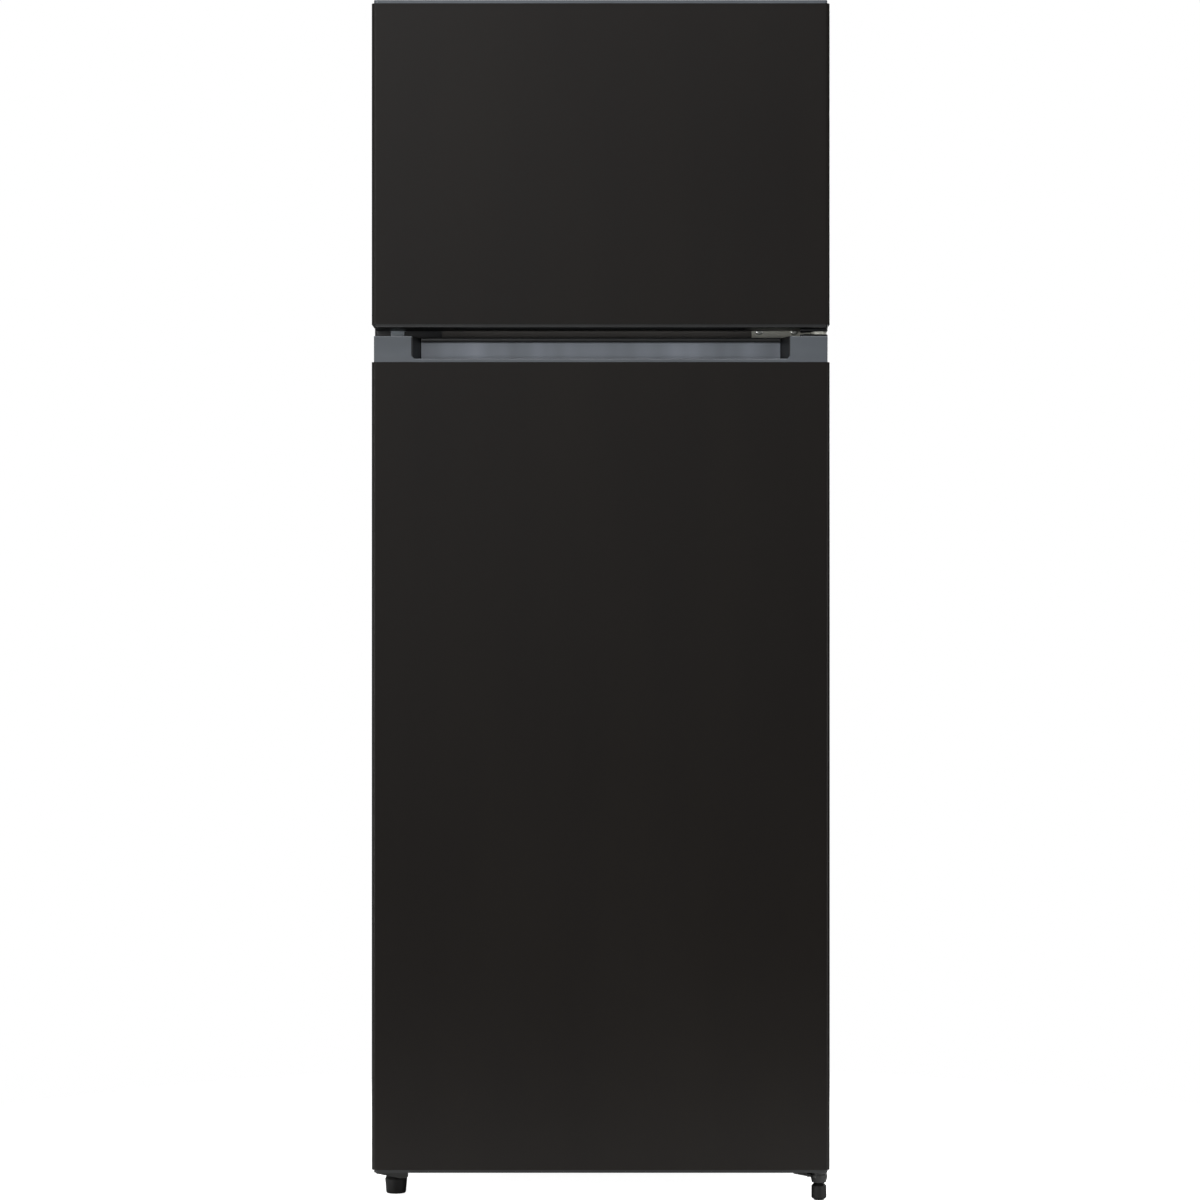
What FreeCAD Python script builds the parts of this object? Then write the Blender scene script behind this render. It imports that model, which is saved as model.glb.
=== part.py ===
"""Top freezer refrigerator, 545 mm wide, built as a parametric FreeCAD document.

The frame: millimetres, +Z up, +X to the right of someone facing the doors, +Y towards the wall behind.
The origin is on the floor, below the middle of the whole outline. Both doors hang on the right.
"""

import FreeCAD
import Part
import Sketcher
import math
import os
from FreeCAD import Vector

# ---------------------------------------------------------------- driving sizes, millimetres
SIZES = [
    # outside
    ("width", 545.0, "cabinet and doors, side to side"),
    ("depth", 555.0, "door face to the back of the condenser"),
    ("height", 1430.0, "floor to the top of the freezer door"),
    ("floor_gap", 30.0, "cabinet underside above the floor"),
    ("top_step", 12.0, "cabinet top below the top of the freezer door"),
    ("door_thick", 52.0, "door face to door back"),
    ("door_gap", 8.0, "door back to cabinet front"),
    ("condenser_space", 30.0, "cabinet back to the back of the condenser"),
    ("door_low", 35.5, "bottom of the fridge door above the floor"),
    ("freezer_door_height", 389.0, "freezer door, bottom to top"),
    ("doors_apart", 10.5, "gap between the two doors"),
    # sheet and liner
    ("sheet_steel", 0.8, "painted steel of shell, pan, rail and door skins"),
    ("liner_wall", 1.5, "thermoformed polystyrene liners"),
    ("flange", 22.0, "front flange of the shell that the gaskets seal on"),
    ("pan_upturn", 42.0, "front upturn of the base pan"),
    ("shell_edge", 1.5, "bend radius on the outside of the shell"),
    # cabinet walls
    ("freezer_wall", 52.0, "insulated side walls of the freezer"),
    ("freezer_roof", 52.0, "insulated roof of the freezer"),
    ("freezer_back", 60.0, "insulated back of the freezer"),
    ("fridge_wall", 40.0, "insulated side walls of the fridge"),
    ("fridge_floor", 50.0, "insulated floor of the fridge"),
    ("fridge_back", 45.0, "insulated back of the fridge"),
    ("rail_above", 25.0, "mullion rail above the bottom of the freezer door"),
    ("rail_below", 26.5, "mullion rail below the top of the fridge door"),
    ("rail_return", 16.0, "mullion rail, front to back"),
    ("liner_lip", 6.0, "liner flange seen between rail and opening"),
    ("liner_corner", 12.0, "inside corner radius of the liners"),
    ("bay_depth", 140.0, "compressor bay, front to back"),
    ("bay_height", 210.0, "compressor bay, bottom to top"),
    ("bay_wall", 35.0, "insulation in front of the bay"),
    ("bay_roof", 45.0, "insulation above the bay"),
    ("parting", 0.02, "hairline gaps that part the foam"),
    ("parting_set", 4.0, "those gaps inside the walls of the fridge tub"),
    ("freezer_parting_set", 6.5, "those gaps inside the walls of the freezer tub"),
    ("trough_half", 150.0, "half the length of the drain trough"),
    ("trough_wide", 20.0, "drain trough, front to back"),
    ("trough_end", 3.0, "depth of the trough at its ends"),
    ("trough_drop", 10.0, "depth of the trough at the drain"),
    ("evaporator_sheet", 1.5, "roll bond sheet of the evaporators"),
    ("evaporator_side", 24.0, "evaporators inside the side walls of the liners"),
    ("evaporator_set", 45.0, "freezer evaporator behind the cabinet front"),
    ("cold_plate_drop", 118.0, "fridge evaporator below the top of the compartment"),
    ("cold_plate_high", 320.0, "fridge evaporator, bottom to top"),
    # doors
    ("door_edge", 5.0, "radius of the upright front edges of a door skin"),
    ("skin_return", 12.0, "return of the door skin behind the foam"),
    ("cap_inset", 2.7, "end caps inside the sides of the door skins"),
    ("cap_back", 0.6, "end caps behind the face of the door skins"),
    ("top_lip", 4.0, "freezer top cap above its skin"),
    ("low_lip", 3.5, "bottom caps below their skins"),
    ("cap_plug", 10.0, "end caps reaching into the skins"),
    ("cap_wall", 2.5, "wall of the end caps"),
    ("boss_half", 9.8, "half the width of a hinge boss"),
    ("liner_edge", 3.0, "door liner inside the outline of its door"),
    ("dyke_gap", 10.0, "door dyke to the liner opening around it"),
    ("dyke_depth", 45.0, "fridge door dyke, door back to crest"),
    ("freezer_dyke_depth", 35.0, "freezer door dyke, door back to crest"),
    ("dyke_width", 26.0, "width of a dyke"),
    ("dyke_round", 4.0, "radius on the crest of a dyke"),
    ("gasket_width", 12.0, "magnetic gasket"),
    ("gasket_side", 8.0, "gasket inside the sides of a door"),
    ("gasket_clear", 0.8, "closed gasket to cabinet front"),
    ("gasket_top", 16.0, "freezer gasket below the top of its door"),
    ("gasket_mid", 12.0, "gaskets from the gap between the doors"),
    ("gasket_low", 17.0, "fridge gasket above the bottom of its door"),
    ("gasket_round", 2.5, "radius on the sealing bulb"),
    # grip between the doors
    ("trim_height", 31.0, "grey grip trim, bottom to top"),
    ("trim_wall", 2.5, "wall of the grip trim"),
    ("trim_back", 1.0, "trim behind the face of the door skin"),
    ("post_width", 44.5, "solid post at each end of the trim"),
    ("lip_height", 4.2, "front lip of the trim above the skin"),
    ("lip_corner", 3.5, "chamfer in the lower corners of the trim opening"),
    ("grip_end", 10.5, "slope of the dark ends of the grip"),
    ("grip_depth", 28.0, "door face to the back of the grip"),
    ("grip_drop", 24.0, "grip floor below the edge of the skin"),
    ("pull_side", 100.0, "freezer pull inside the sides of the door"),
    ("pull_front", 7.0, "door face to the freezer pull"),
    ("pull_width", 23.0, "freezer pull, front to back"),
    ("pull_rise", 24.0, "freezer pull, height"),
    # door racks
    ("rack_wall", 2.5, "wall of the door racks"),
    ("rack_depth", 88.0, "fridge door racks, front to back"),
    ("freezer_rack_depth", 66.0, "freezer door racks, front to back"),
    ("rack_height", 62.0, "door racks, height"),
    ("bottle_rack_height", 84.0, "bottle rack, height"),
    ("rack_corner", 20.0, "round corners of the racks"),
    ("rack_floor_round", 5.0, "radius where the rack walls meet the floor"),
    ("rack_back", 30.0, "low back wall of the racks below their rim"),
    ("rack_set", 0.6, "racks off the liner and the dykes"),
    ("rim_out", 7.0, "rim that hangs on the lugs"),
    ("rim_high", 3.0, "thickness of that rim"),
    ("lug_out", 6.0, "rack lugs, out of the dykes"),
    ("lug_depth", 24.0, "rack lugs, front to back"),
    ("lug_high", 12.0, "rack lugs, height"),
    ("lug_set", 8.0, "rack lugs off the door liner"),
    ("fridge_rack_drop", 118.0, "upper fridge rack below the top of the compartment"),
    ("fridge_rack_pitch", 280.0, "upper fridge rack to middle fridge rack"),
    ("bottle_rack_set", 6.0, "bottle rack above the lower bar of the dyke"),
    ("freezer_rack_drop", 66.0, "upper freezer rack below the top of the compartment"),
    ("freezer_rack_set", 4.0, "lower freezer rack above the lower bar of the dyke"),
    ("egg_radius", 19.0, "egg pockets of the egg tray"),
    ("egg_count", 6.0, "eggs in the tray"),
    ("egg_tray_end", 24.0, "egg tray to the ends of its rack"),
    ("egg_tray_high", 18.0, "egg tray, height"),
    ("egg_tray_wide", 62.0, "egg tray, front to back"),
    ("egg_tray_corner", 10.0, "corner radius of the egg tray"),
    # hinges
    ("hinge_side", 11.5, "hinge axis inside the side of the cabinet"),
    ("hinge_set", 25.0, "hinge axis behind the door face"),
    ("hinge_plate", 3.0, "steel of the hinges"),
    ("hinge_eye", 9.0, "radius of the hinge arms round their pins"),
    ("pin_radius", 4.0, "top and middle hinge pins"),
    ("pin_length", 17.0, "pins beyond their arm"),
    ("pin_play", 0.15, "clearance of a pin in its socket"),
    ("pin_end", 1.5, "socket deeper than its pin"),
    ("low_pin_radius", 6.0, "bottom hinge pin"),
    ("low_pin_length", 20.0, "bottom hinge pin above its plate"),
    ("collar_radius", 8.0, "bearing collars round the pins"),
    ("collar_play", 0.3, "collar to door"),
    ("top_hinge_length", 56.0, "top hinge plate on the cabinet, front to back"),
    ("top_hinge_width", 66.0, "top hinge plate, side to side"),
    ("mid_hinge_width", 79.0, "middle hinge flange, side to side"),
    ("mid_hinge_height", 26.0, "middle hinge flange, bottom to top"),
    ("mid_screw_rise", 5.5, "screws of the middle hinge above its arm"),
    ("mid_screw_side", 28.0, "inner screw of the middle hinge to its pin"),
    ("low_hinge_width", 40.0, "bottom hinge and foot bracket, side to side"),
    ("low_hinge_back", 62.0, "bottom hinge and foot bracket behind the cabinet front"),
    ("apron_drop", 10.0, "front apron below the cabinet, at its deep right end"),
    ("apron_end", 4.5, "front apron below the cabinet, at its left end"),
    ("apron_flat", 10.0, "level part of the apron's lower edge"),
    ("apron_round", 3.0, "radius of the apron's lower corner"),
    ("plate_corner", 6.0, "corner radius of the hinge plates"),
    ("cover_wall", 1.6, "wall of the hinge cover"),
    ("cover_play", 0.4, "hinge cover to hinge"),
    ("arm_gap", 1.5, "hinge arm above the recess of the top cap"),
    ("recess_lip", 5.0, "top cap left in front of the hinge recess"),
    ("recess_left", 18.0, "hinge recess to the left of the pin"),
    ("screw_radius", 2.5, "hinge screw shanks"),
    ("screw_head", 4.5, "radius of the screw heads"),
    ("head_height", 2.4, "height of the screw heads"),
    ("screw_length", 12.0, "screws below their heads"),
    # feet and rollers
    ("stud_radius", 3.9, "studs of the front feet"),
    ("stud_play", 0.1, "clearance of a stud in its thread"),
    ("foot_radius", 13.4, "left front foot"),
    ("foot_heel", 12.0, "left front foot just above its base"),
    ("foot_base", 10.9, "base of the left front foot"),
    ("foot_high", 20.0, "left front foot, height"),
    ("foot_rim", 2.8, "rim of the left front foot, height"),
    ("foot_bevel", 1.4, "bevel on that rim"),
    ("foot_stud", 26.0, "stud above the front feet"),
    ("foot_side", 24.6, "left front foot inside the side of the cabinet"),
    ("foot_set", 18.0, "left front foot behind the cabinet front"),
    ("knob_foot_radius", 9.0, "right front foot"),
    ("knob_foot_base", 6.0, "base of the right front foot"),
    ("knob_foot_high", 20.0, "right front foot, height"),
    ("knob_foot_step", 1.5, "steps in the outline of the right front foot"),
    ("nut_radius", 14.0, "flared nut under the bottom hinge"),
    ("nut_base", 8.5, "lower end of the flared nut"),
    ("nut_high", 6.0, "nut height"),
    ("roller_radius", 14.0, "rear rollers"),
    ("roller_width", 18.0, "rear rollers"),
    ("roller_side", 32.0, "roller inside the side of the cabinet"),
    ("roller_set", 34.0, "roller axle in front of the cabinet back"),
    ("axle_radius", 2.5, "roller axles"),
    ("axle_play", 0.08, "clearance of the rollers on their axles"),
    ("axle_end", 2.0, "axles beyond their ears"),
    ("ear_wall", 2.0, "steel of the roller ears"),
    ("ear_gap", 1.0, "roller to ear"),
    ("ear_half", 9.0, "half the width of a roller ear"),
    ("recess_out", 10.5, "recess in the ends of the rollers, outer radius"),
    ("recess_in", 5.6, "recess in the ends of the rollers, inner radius"),
    # shelves and drawer
    ("glass", 4.0, "shelf glass"),
    ("shelf_drop", 258.0, "upper shelf below the top of the compartment"),
    ("shelf_pitch", 220.0, "upper shelf to lower shelf"),
    ("cover_set", 15.0, "crisper cover above the step"),
    ("freezer_shelf_rise", 142.0, "freezer shelf above the freezer floor"),
    ("shelf_front", 112.0, "shelf fronts behind the cabinet front"),
    ("shelf_play", 2.0, "shelf to liner, each side"),
    ("shelf_rear", 8.0, "shelf to the back wall"),
    ("rib_out", 7.0, "shelf ribs out of the liner"),
    ("rib_high", 7.0, "shelf ribs, height"),
    ("rib_end", 19.0, "ribs shorter than their shelf, each end"),
    ("trim_lip", 8.0, "shelf trims over the glass"),
    ("shelf_trim_wall", 2.0, "wall of the shelf trims"),
    ("trim_drop", 16.0, "front of the shelf trim, bottom to top"),
    ("crisper_front", 110.0, "crisper behind the cabinet front"),
    ("crisper_gap", 4.0, "crisper to the step"),
    ("crisper_lift", 0.6, "crisper above the floor liner"),
    ("crisper_side", 9.0, "crisper to the side walls"),
    ("crisper_high", 196.0, "crisper, height"),
    ("crisper_wall", 2.5, "wall of the crisper"),
    ("crisper_corner", 18.0, "corner radius of the crisper"),
    ("crisper_grip", 12.0, "grip rail out of the crisper front"),
    ("grip_high", 22.0, "grip rail, height"),
    ("wire", 1.5, "radius of the freezer shelf wires"),
    ("wire_count", 21.0, "wires across the freezer shelf"),
    ("cross_wire", 2.5, "radius of the cross wires"),
    ("cross_wires", 3.0, "cross wires below them"),
    # control box
    ("box_half", 110.0, "half the width of the control box"),
    ("box_front", 60.0, "control box behind the cabinet front"),
    ("box_depth", 130.0, "control box, front to back"),
    ("box_high", 46.0, "control box, height"),
    ("box_wall", 2.0, "wall of the control box"),
    ("box_round", 6.0, "radius on the lower edges of the control box"),
    ("knob_radius", 18.0, "thermostat knob"),
    ("knob_depth", 14.0, "thermostat knob"),
    ("knob_off", 0.6, "knob to the control box"),
    ("knob_right", 50.0, "knob to the right of the middle"),
    ("knob_grooves", 12.0, "finger grooves round the knob"),
    ("groove_radius", 2.2, "finger grooves of the knob"),
    ("shaft_radius", 3.0, "thermostat shaft"),
    ("shaft_reach", 7.0, "thermostat shaft out of the control box"),
    ("shaft_play", 0.1, "clearance round shaft and plunger"),
    ("thermostat_size", 34.0, "thermostat body, side and height"),
    ("switch_right", 92.0, "light switch to the right of the middle"),
    ("switch_radius", 4.0, "light switch plunger"),
    ("switch_clear", 0.4, "pressed plunger to the door dyke"),
    ("switch_travel", 6.0, "light switch travel"),
    ("switch_size", 14.0, "light switch body, side and height"),
    ("switch_depth", 24.0, "light switch body, front to back"),
    ("lens_left", 96.0, "lamp lens to the left of the middle"),
    ("lens_width", 86.0, "lamp lens, side to side"),
    ("lens_depth", 84.0, "lamp lens, front to back"),
    ("lens_set", 16.0, "lamp lens behind the front of its box"),
    ("lamp_radius", 11.0, "lamp bulb"),
    ("lamp_length", 40.0, "lamp bulb without its cap"),
    ("lamp_round", 8.8, "radius on the end of the bulb"),
    ("lamp_cap", 7.0, "radius of the lamp cap"),
    # machine bay
    ("base_wall", 2.0, "steel of the compressor base"),
    ("base_upturn", 14.0, "side and rear upturns of the compressor base"),
    ("vent_width", 6.0, "air slots in the compressor base"),
    ("vent_edge", 26.0, "air slots inside the edges of the base"),
    ("vent_count", 7.0, "air slots in the compressor base"),
    ("compressor_length", 196.0, "compressor, side to side"),
    ("compressor_width", 124.0, "compressor, front to back"),
    ("compressor_high", 138.0, "compressor, height of the can"),
    ("compressor_right", 34.0, "compressor to the right of the middle"),
    ("can_round", 52.0, "plan radius of the can"),
    ("can_top", 34.0, "radius on the top of the can"),
    ("can_low", 18.0, "radius below the can"),
    ("seam_out", 2.0, "weld seam of the can"),
    ("seam_high", 6.0, "weld seam of the can, height"),
    ("seam_rise", 76.0, "middle of the seam above the bottom of the can"),
    ("mount_high", 13.0, "rubber mounts"),
    ("mount_radius", 9.5, "rubber mounts"),
    ("mount_waist", 6.6, "waist of the rubber mounts"),
    ("mount_x", 78.0, "mounts from the compressor middle, sideways"),
    ("mount_y", 46.0, "mounts from the compressor middle, front to back"),
    ("mount_plate", 2.5, "compressor feet"),
    ("tray_high", 26.0, "evaporating tray, height"),
    ("tray_wall", 2.0, "wall of the evaporating tray"),
    ("tray_half_x", 62.0, "half the length of the tray"),
    ("tray_half_y", 44.0, "half the width of the tray"),
    ("relay_depth", 34.0, "relay cover, side to side"),
    ("relay_width", 62.0, "relay cover, front to back"),
    ("relay_high", 64.0, "relay cover, height"),
    ("cord_radius", 4.0, "entry for the mains lead in the relay cover"),
    ("cord_side", 14.0, "middle of that entry inside the edges of the cover"),
    ("cord_depth", 20.0, "depth of that entry"),
    ("drain_radius", 7.0, "drain tube, outside"),
    ("drain_bore", 5.0, "drain tube, inside"),
    ("drain_set", 22.0, "drain in front of the fridge back wall"),
    ("drain_out", 14.0, "drain tube below the bay roof"),
    ("drier_radius", 8.0, "filter drier"),
    ("drier_length", 80.0, "filter drier, straight part"),
    ("drier_side", 102.0, "filter drier inside the left side of the cabinet"),
    ("tube_run", 25.0, "short runs of the refrigerant tubes"),
    ("tube_bend", 12.0, "bend radius of the refrigerant tubes"),
    ("suction_tube", 3.2, "radius of the suction tube"),
    ("capillary_tube", 1.2, "radius of the capillary"),
    ("capillary_drop", 12.0, "capillary below the filter drier"),
    ("capillary_bend", 7.2, "bend radius of the capillary"),
    ("suction_rise", 60.0, "suction tube above the bottom of the can"),
    ("discharge_rise", 32.0, "discharge tube above the bottom of the can"),
    # condenser
    ("condenser_side", 64.0, "tube bends inside the sides of the cabinet"),
    ("condenser_low", 330.0, "lowest pass of the condenser"),
    ("condenser_pitch", 72.0, "pass to pass"),
    ("condenser_passes", 13.0, "passes of the condenser tube"),
    ("condenser_tube", 2.5, "radius of the condenser tube"),
    ("condenser_wire", 0.8, "half the thickness of the condenser wires"),
    ("wire_pitch", 13.0, "wire to wire"),
    ("wires_a_side", 30.0, "condenser wires on each side of the tube"),
    ("wire_over", 12.0, "wires beyond the outer passes"),
    ("bracket_size", 26.0, "condenser brackets"),
    ("bracket_side", 42.0, "condenser brackets inside the tube bends"),
    ("bracket_wall", 1.5, "steel of the condenser brackets"),
]

doc = FreeCAD.newDocument("top_freezer_refrigerator")
sheet = doc.addObject("Spreadsheet::Sheet", "sizes")
for row, (alias, number, meaning) in enumerate(SIZES, start=1):
    sheet.set(f"A{row}", alias)
    sheet.set(f"B{row}", str(number))
    sheet.setAlias(f"B{row}", alias)
    sheet.set(f"C{row}", meaning)
doc.recompute()


# ---------------------------------------------------------------- sizes that know their formula
class Size:
    """A length that knows its number and the spreadsheet formula it comes from."""

    def __init__(self, number, formula):
        self.number = float(number)
        self.formula = formula

    def __add__(self, other):
        return joined(self, "+", other, self.number + number_of(other))

    def __sub__(self, other):
        return joined(self, "-", other, self.number - number_of(other))

    def __mul__(self, other):
        return joined(self, "*", other, self.number * number_of(other))

    def __truediv__(self, other):
        return joined(self, "/", other, self.number / number_of(other))

    def __radd__(self, other):
        return joined(other, "+", self, number_of(other) + self.number)

    def __rsub__(self, other):
        return joined(other, "-", self, number_of(other) - self.number)

    def __rmul__(self, other):
        return joined(other, "*", self, number_of(other) * self.number)

    def __neg__(self):
        return Size(-self.number, f"(-1 * {self.formula})")


def number_of(value):
    return value.number if isinstance(value, Size) else float(value)


def formula_of(value):
    return value.formula if isinstance(value, Size) else f"({value})"


def joined(left, sign, right, number):
    return Size(number, f"({formula_of(left)} {sign} {formula_of(right)})")


class Sheet:
    """Reads the spreadsheet: mm.width is the size with that alias."""

    def __getattr__(self, alias):
        return Size(sheet.get(alias), f"sizes.{alias}")


mm = Sheet()
ZERO = Size(0, "(0)")
AXIS = Size(10, "(10)")


# ---------------------------------------------------------------- modelling helpers
NODES = []
DIRECTIONS = {"X": Vector(1, 0, 0), "Y": Vector(0, 1, 0), "Z": Vector(0, 0, 1)}
CLOSE = 0.01
ALONG = 0.999


def node(item):
    """Marks an object as a piece of the refrigerator."""
    NODES.append(item)
    return item


def body(name):
    item = doc.addObject("PartDesign::Body", name)
    item.Label = name
    item.AllowCompound = True
    return item


def rect(left, right, low, high):
    return [(left, low), (right, low), (right, high), (left, high)]


def sketch(item, plane, place, loops):
    """A sketch parallel to an origin plane. A loop is a list of corners, or one circle (u, v, radius)."""
    origin = next(o for o in item.Origin.OriginFeatures if o.Role == f"{plane}_Plane")
    drawing = item.newObject("Sketcher::SketchObject", f"{item.Name}_sketch")
    drawing.AttachmentSupport = [(origin, "")]
    drawing.MapMode = "FlatFace"
    drawing.setExpression("AttachmentOffset.Base.z", formula_of(place * -1 if plane == "XZ" else place))
    for loop in loops:
        if isinstance(loop, tuple):
            draw_circle(drawing, *loop)
        else:
            draw_corners(drawing, loop)
    return drawing


def bind(drawing, kind, geometry, point, value):
    """Ties one coordinate of a sketch point, or one radius, to a formula."""
    if kind == "Radius":
        number = drawing.addConstraint(Sketcher.Constraint(kind, geometry, number_of(value)))
    else:
        number = drawing.addConstraint(Sketcher.Constraint(kind, -1, 1, geometry, point, number_of(value)))
    drawing.setExpression(f"Constraints[{number}]", formula_of(value))


def draw_circle(drawing, u, v, radius):
    centre = Vector(number_of(u), number_of(v), 0)
    circle = drawing.addGeometry(Part.Circle(centre, Vector(0, 0, 1), number_of(radius)), False)
    bind(drawing, "DistanceX", circle, 3, u)
    bind(drawing, "DistanceY", circle, 3, v)
    bind(drawing, "Radius", circle, 0, radius)


def draw_corners(drawing, corners):
    points = [Vector(number_of(u), number_of(v), 0) for u, v in corners]
    lines = []
    for start, end in zip(points, points[1:] + points[:1]):
        lines.append(drawing.addGeometry(Part.LineSegment(start, end), False))
    for line, following in zip(lines, lines[1:] + lines[:1]):
        drawing.addConstraint(Sketcher.Constraint("Coincident", line, 2, following, 1))
    for line, (u, v) in zip(lines, corners):
        bind(drawing, "DistanceX", line, 1, u)
        bind(drawing, "DistanceY", line, 1, v)


def pad(item, plane, loops, low, high):
    """Adds the loops as a prism between two places on the plane's axis."""
    drawing = sketch(item, plane, high if plane == "XZ" else low, loops)
    feature = item.newObject("PartDesign::Pad", f"{item.Name}_pad")
    feature.Profile = drawing
    feature.setExpression("Length", formula_of(high - low))
    return feature


def cut(item, plane, loops, low, high):
    """Takes the loops out of a body between two places on the plane's axis."""
    doc.recompute()
    before = item.Shape.Volume
    drawing = sketch(item, plane, low if plane == "XZ" else high, loops)
    feature = item.newObject("PartDesign::Pocket", f"{item.Name}_pocket")
    feature.Profile = drawing
    feature.setExpression("Length", formula_of(high - low))
    doc.recompute()
    if item.Shape.Volume >= before:
        raise RuntimeError(f"{item.Label}: a pocket takes nothing away")
    return feature


def turn(item, corners, centre_x, centre_y):
    """Adds a turned form round an upright axis; corners are (radius, height)."""
    loop = [(centre_x + radius, height) for radius, height in corners]
    drawing = sketch(item, "XZ", centre_y, [loop])
    axis = drawing.addGeometry(Part.LineSegment(
        Vector(number_of(centre_x), 0, 0), Vector(number_of(centre_x), 10, 0)), True)
    drawing.addConstraint(Sketcher.Constraint("Vertical", axis))
    bind(drawing, "DistanceX", axis, 1, centre_x)
    bind(drawing, "DistanceY", axis, 1, ZERO)
    bind(drawing, "DistanceY", axis, 2, AXIS)
    feature = item.newObject("PartDesign::Revolution", f"{item.Name}_turn")
    feature.Profile = drawing
    feature.ReferenceAxis = (drawing, ["Axis0"])
    feature.Angle = 360
    return feature


def edge(direction, **where):
    """Straight edges along a direction; x, y and z say where their middles lie."""
    return direction, where


def picked(shape, picks):
    """Names of the edges of a shape that any of the picks describes."""
    names = []
    for number, candidate in enumerate(shape.Edges, start=1):
        if len(candidate.Vertexes) < 2:
            continue
        chord = candidate.Vertexes[1].Point - candidate.Vertexes[0].Point
        if candidate.Length - chord.Length > CLOSE:
            continue
        middle = candidate.CenterOfMass
        for direction, where in picks:
            if abs(chord.dot(DIRECTIONS[direction])) < chord.Length * ALONG:
                continue
            if all(any(abs(getattr(middle, axis) - number_of(place)) < CLOSE for place in places)
                   for axis, places in where.items()):
                names.append(f"Edge{number}")
                break
    return names


def soften(item, radius, *picks, kind="Fillet"):
    """Rounds (or chamfers) the edges of a body that the picks describe."""
    doc.recompute()
    base = item.Tip
    names = picked(base.Shape, picks) if base.isValid() else []
    if not names:
        raise RuntimeError(f"{item.Label}: no edge to soften")
    feature = item.newObject(f"PartDesign::{kind}", f"{item.Name}_{kind.lower()}")
    feature.Base = (base, names)
    feature.setExpression("Radius" if kind == "Fillet" else "Size", formula_of(radius))
    doc.recompute()
    return feature


def union(name, *parts):
    item = doc.addObject("Part::MultiFuse", name)
    item.Label = name
    item.Shapes = list(parts)
    return item


def minus(name, base, *tools):
    """The base without each of the tools, one Part::Cut after another."""
    for number, tool in enumerate(tools, start=1):
        last = number == len(tools)
        item = doc.addObject("Part::Cut", name if last else f"{name}_step_{number}")
        item.Label = item.Name
        item.Base = base
        item.Tool = tool
        base = item
    return base


def block(name, left, right, near, far, low, high):
    """A plain rectangular body: x from left to right, y from near to far, z from low to high."""
    item = body(name)
    pad(item, "XY", [rect(left, right, near, far)], low, high)
    return item


def rod(name, x, y, radius, low, high):
    """An upright round bar."""
    item = body(name)
    pad(item, "XY", [(x, y, radius)], low, high)
    return item


def repeat(item, feature, count, span, axis):
    """Copies a feature along its sketch's H_Axis or V_Axis, count copies over the span."""
    drawing = feature.Profile[0]
    pattern = item.newObject("PartDesign::LinearPattern", f"{item.Name}_row")
    pattern.Originals = [feature]
    pattern.Direction = (drawing, [axis])
    pattern.setExpression("Length", formula_of(span))
    pattern.setExpression("Occurrences", formula_of(count))
    item.Tip = pattern
    return pattern


def pipe(name, points, radius, bend):
    """A round tube along straight runs joined by arcs of one bend radius."""
    spots = [Vector(*[number_of(value) for value in point]) for point in points]
    edges = []
    start = spots[0]
    for before, corner, after in zip(spots, spots[1:], spots[2:]):
        back = (before - corner).normalize()
        ahead = (after - corner).normalize()
        half_turn = (math.pi - back.getAngle(ahead)) / 2
        reach = number_of(bend) * math.tan(half_turn)
        rise = number_of(bend) / math.cos(half_turn) - number_of(bend)
        middle = corner + (back + ahead).normalize() * rise
        into = corner + back * reach
        out = corner + ahead * reach
        edges.append(Part.LineSegment(start, into).toShape())
        edges.append(Part.Arc(into, middle, out).toShape())
        start = out
    edges.append(Part.LineSegment(start, spots[-1]).toShape())
    path = Part.Wire(edges)
    ring = Part.Wire(Part.Circle(spots[0], spots[1] - spots[0], number_of(radius)).toShape())
    item = doc.addObject("Part::Feature", name)
    item.Label = name
    item.Shape = path.makePipeShell([ring], True, True)
    return item


# ---------------------------------------------------------------- places that several pieces share
half = mm.width / 2
front = mm.depth / -2
door_back = front + mm.door_thick
cabinet_front = door_back + mm.door_gap
cabinet_back = mm.depth / 2 - mm.condenser_space
cabinet_low = mm.floor_gap
cabinet_top = mm.height - mm.top_step
steel = mm.sheet_steel
plastic = mm.liner_wall
inside = half - steel
flange_edge = half - mm.flange
bay_front = cabinet_back - mm.bay_depth
bay_top = cabinet_low + mm.bay_height

freezer_door_low = mm.height - mm.freezer_door_height
grip_top = freezer_door_low - mm.doors_apart
fridge_skin_top = grip_top - mm.trim_height
gap_middle = grip_top + mm.doors_apart / 2

rail_low = grip_top - mm.rail_below
rail_high = freezer_door_low + mm.rail_above
freezer_half = half - mm.freezer_wall
freezer_low = rail_high + mm.liner_lip
freezer_top = cabinet_top - mm.freezer_roof
freezer_rear = cabinet_back - mm.freezer_back
fridge_half = half - mm.fridge_wall
fridge_low = cabinet_low + mm.fridge_floor
fridge_top = rail_low - mm.liner_lip
fridge_rear = cabinet_back - mm.fridge_back
step_front = bay_front - mm.bay_wall
step_top = bay_top + mm.bay_roof
trough_low = step_top - mm.trough_drop

pin_x = half - mm.hinge_side
pin_y = front + mm.hinge_set
skin_back = door_back - plastic
shelf_front = cabinet_front + mm.shelf_front
shelf_rear = fridge_rear - mm.shelf_rear
shelf_high = fridge_top - mm.shelf_drop
shelf_levels = (step_top + mm.cover_set, shelf_high - mm.shelf_pitch, shelf_high)
freezer_shelf_low = freezer_low + mm.freezer_shelf_rise
compressor_y = bay_front + mm.bay_depth / 2
base_top = cabinet_low + mm.base_wall
can_low = base_top + mm.mount_high
can_top = can_low + mm.compressor_high
drain_y = fridge_rear - mm.drain_set
box_front = cabinet_front + mm.box_front
box_low = fridge_top - mm.box_high
knob_z = fridge_top - mm.box_high / 2


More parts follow.
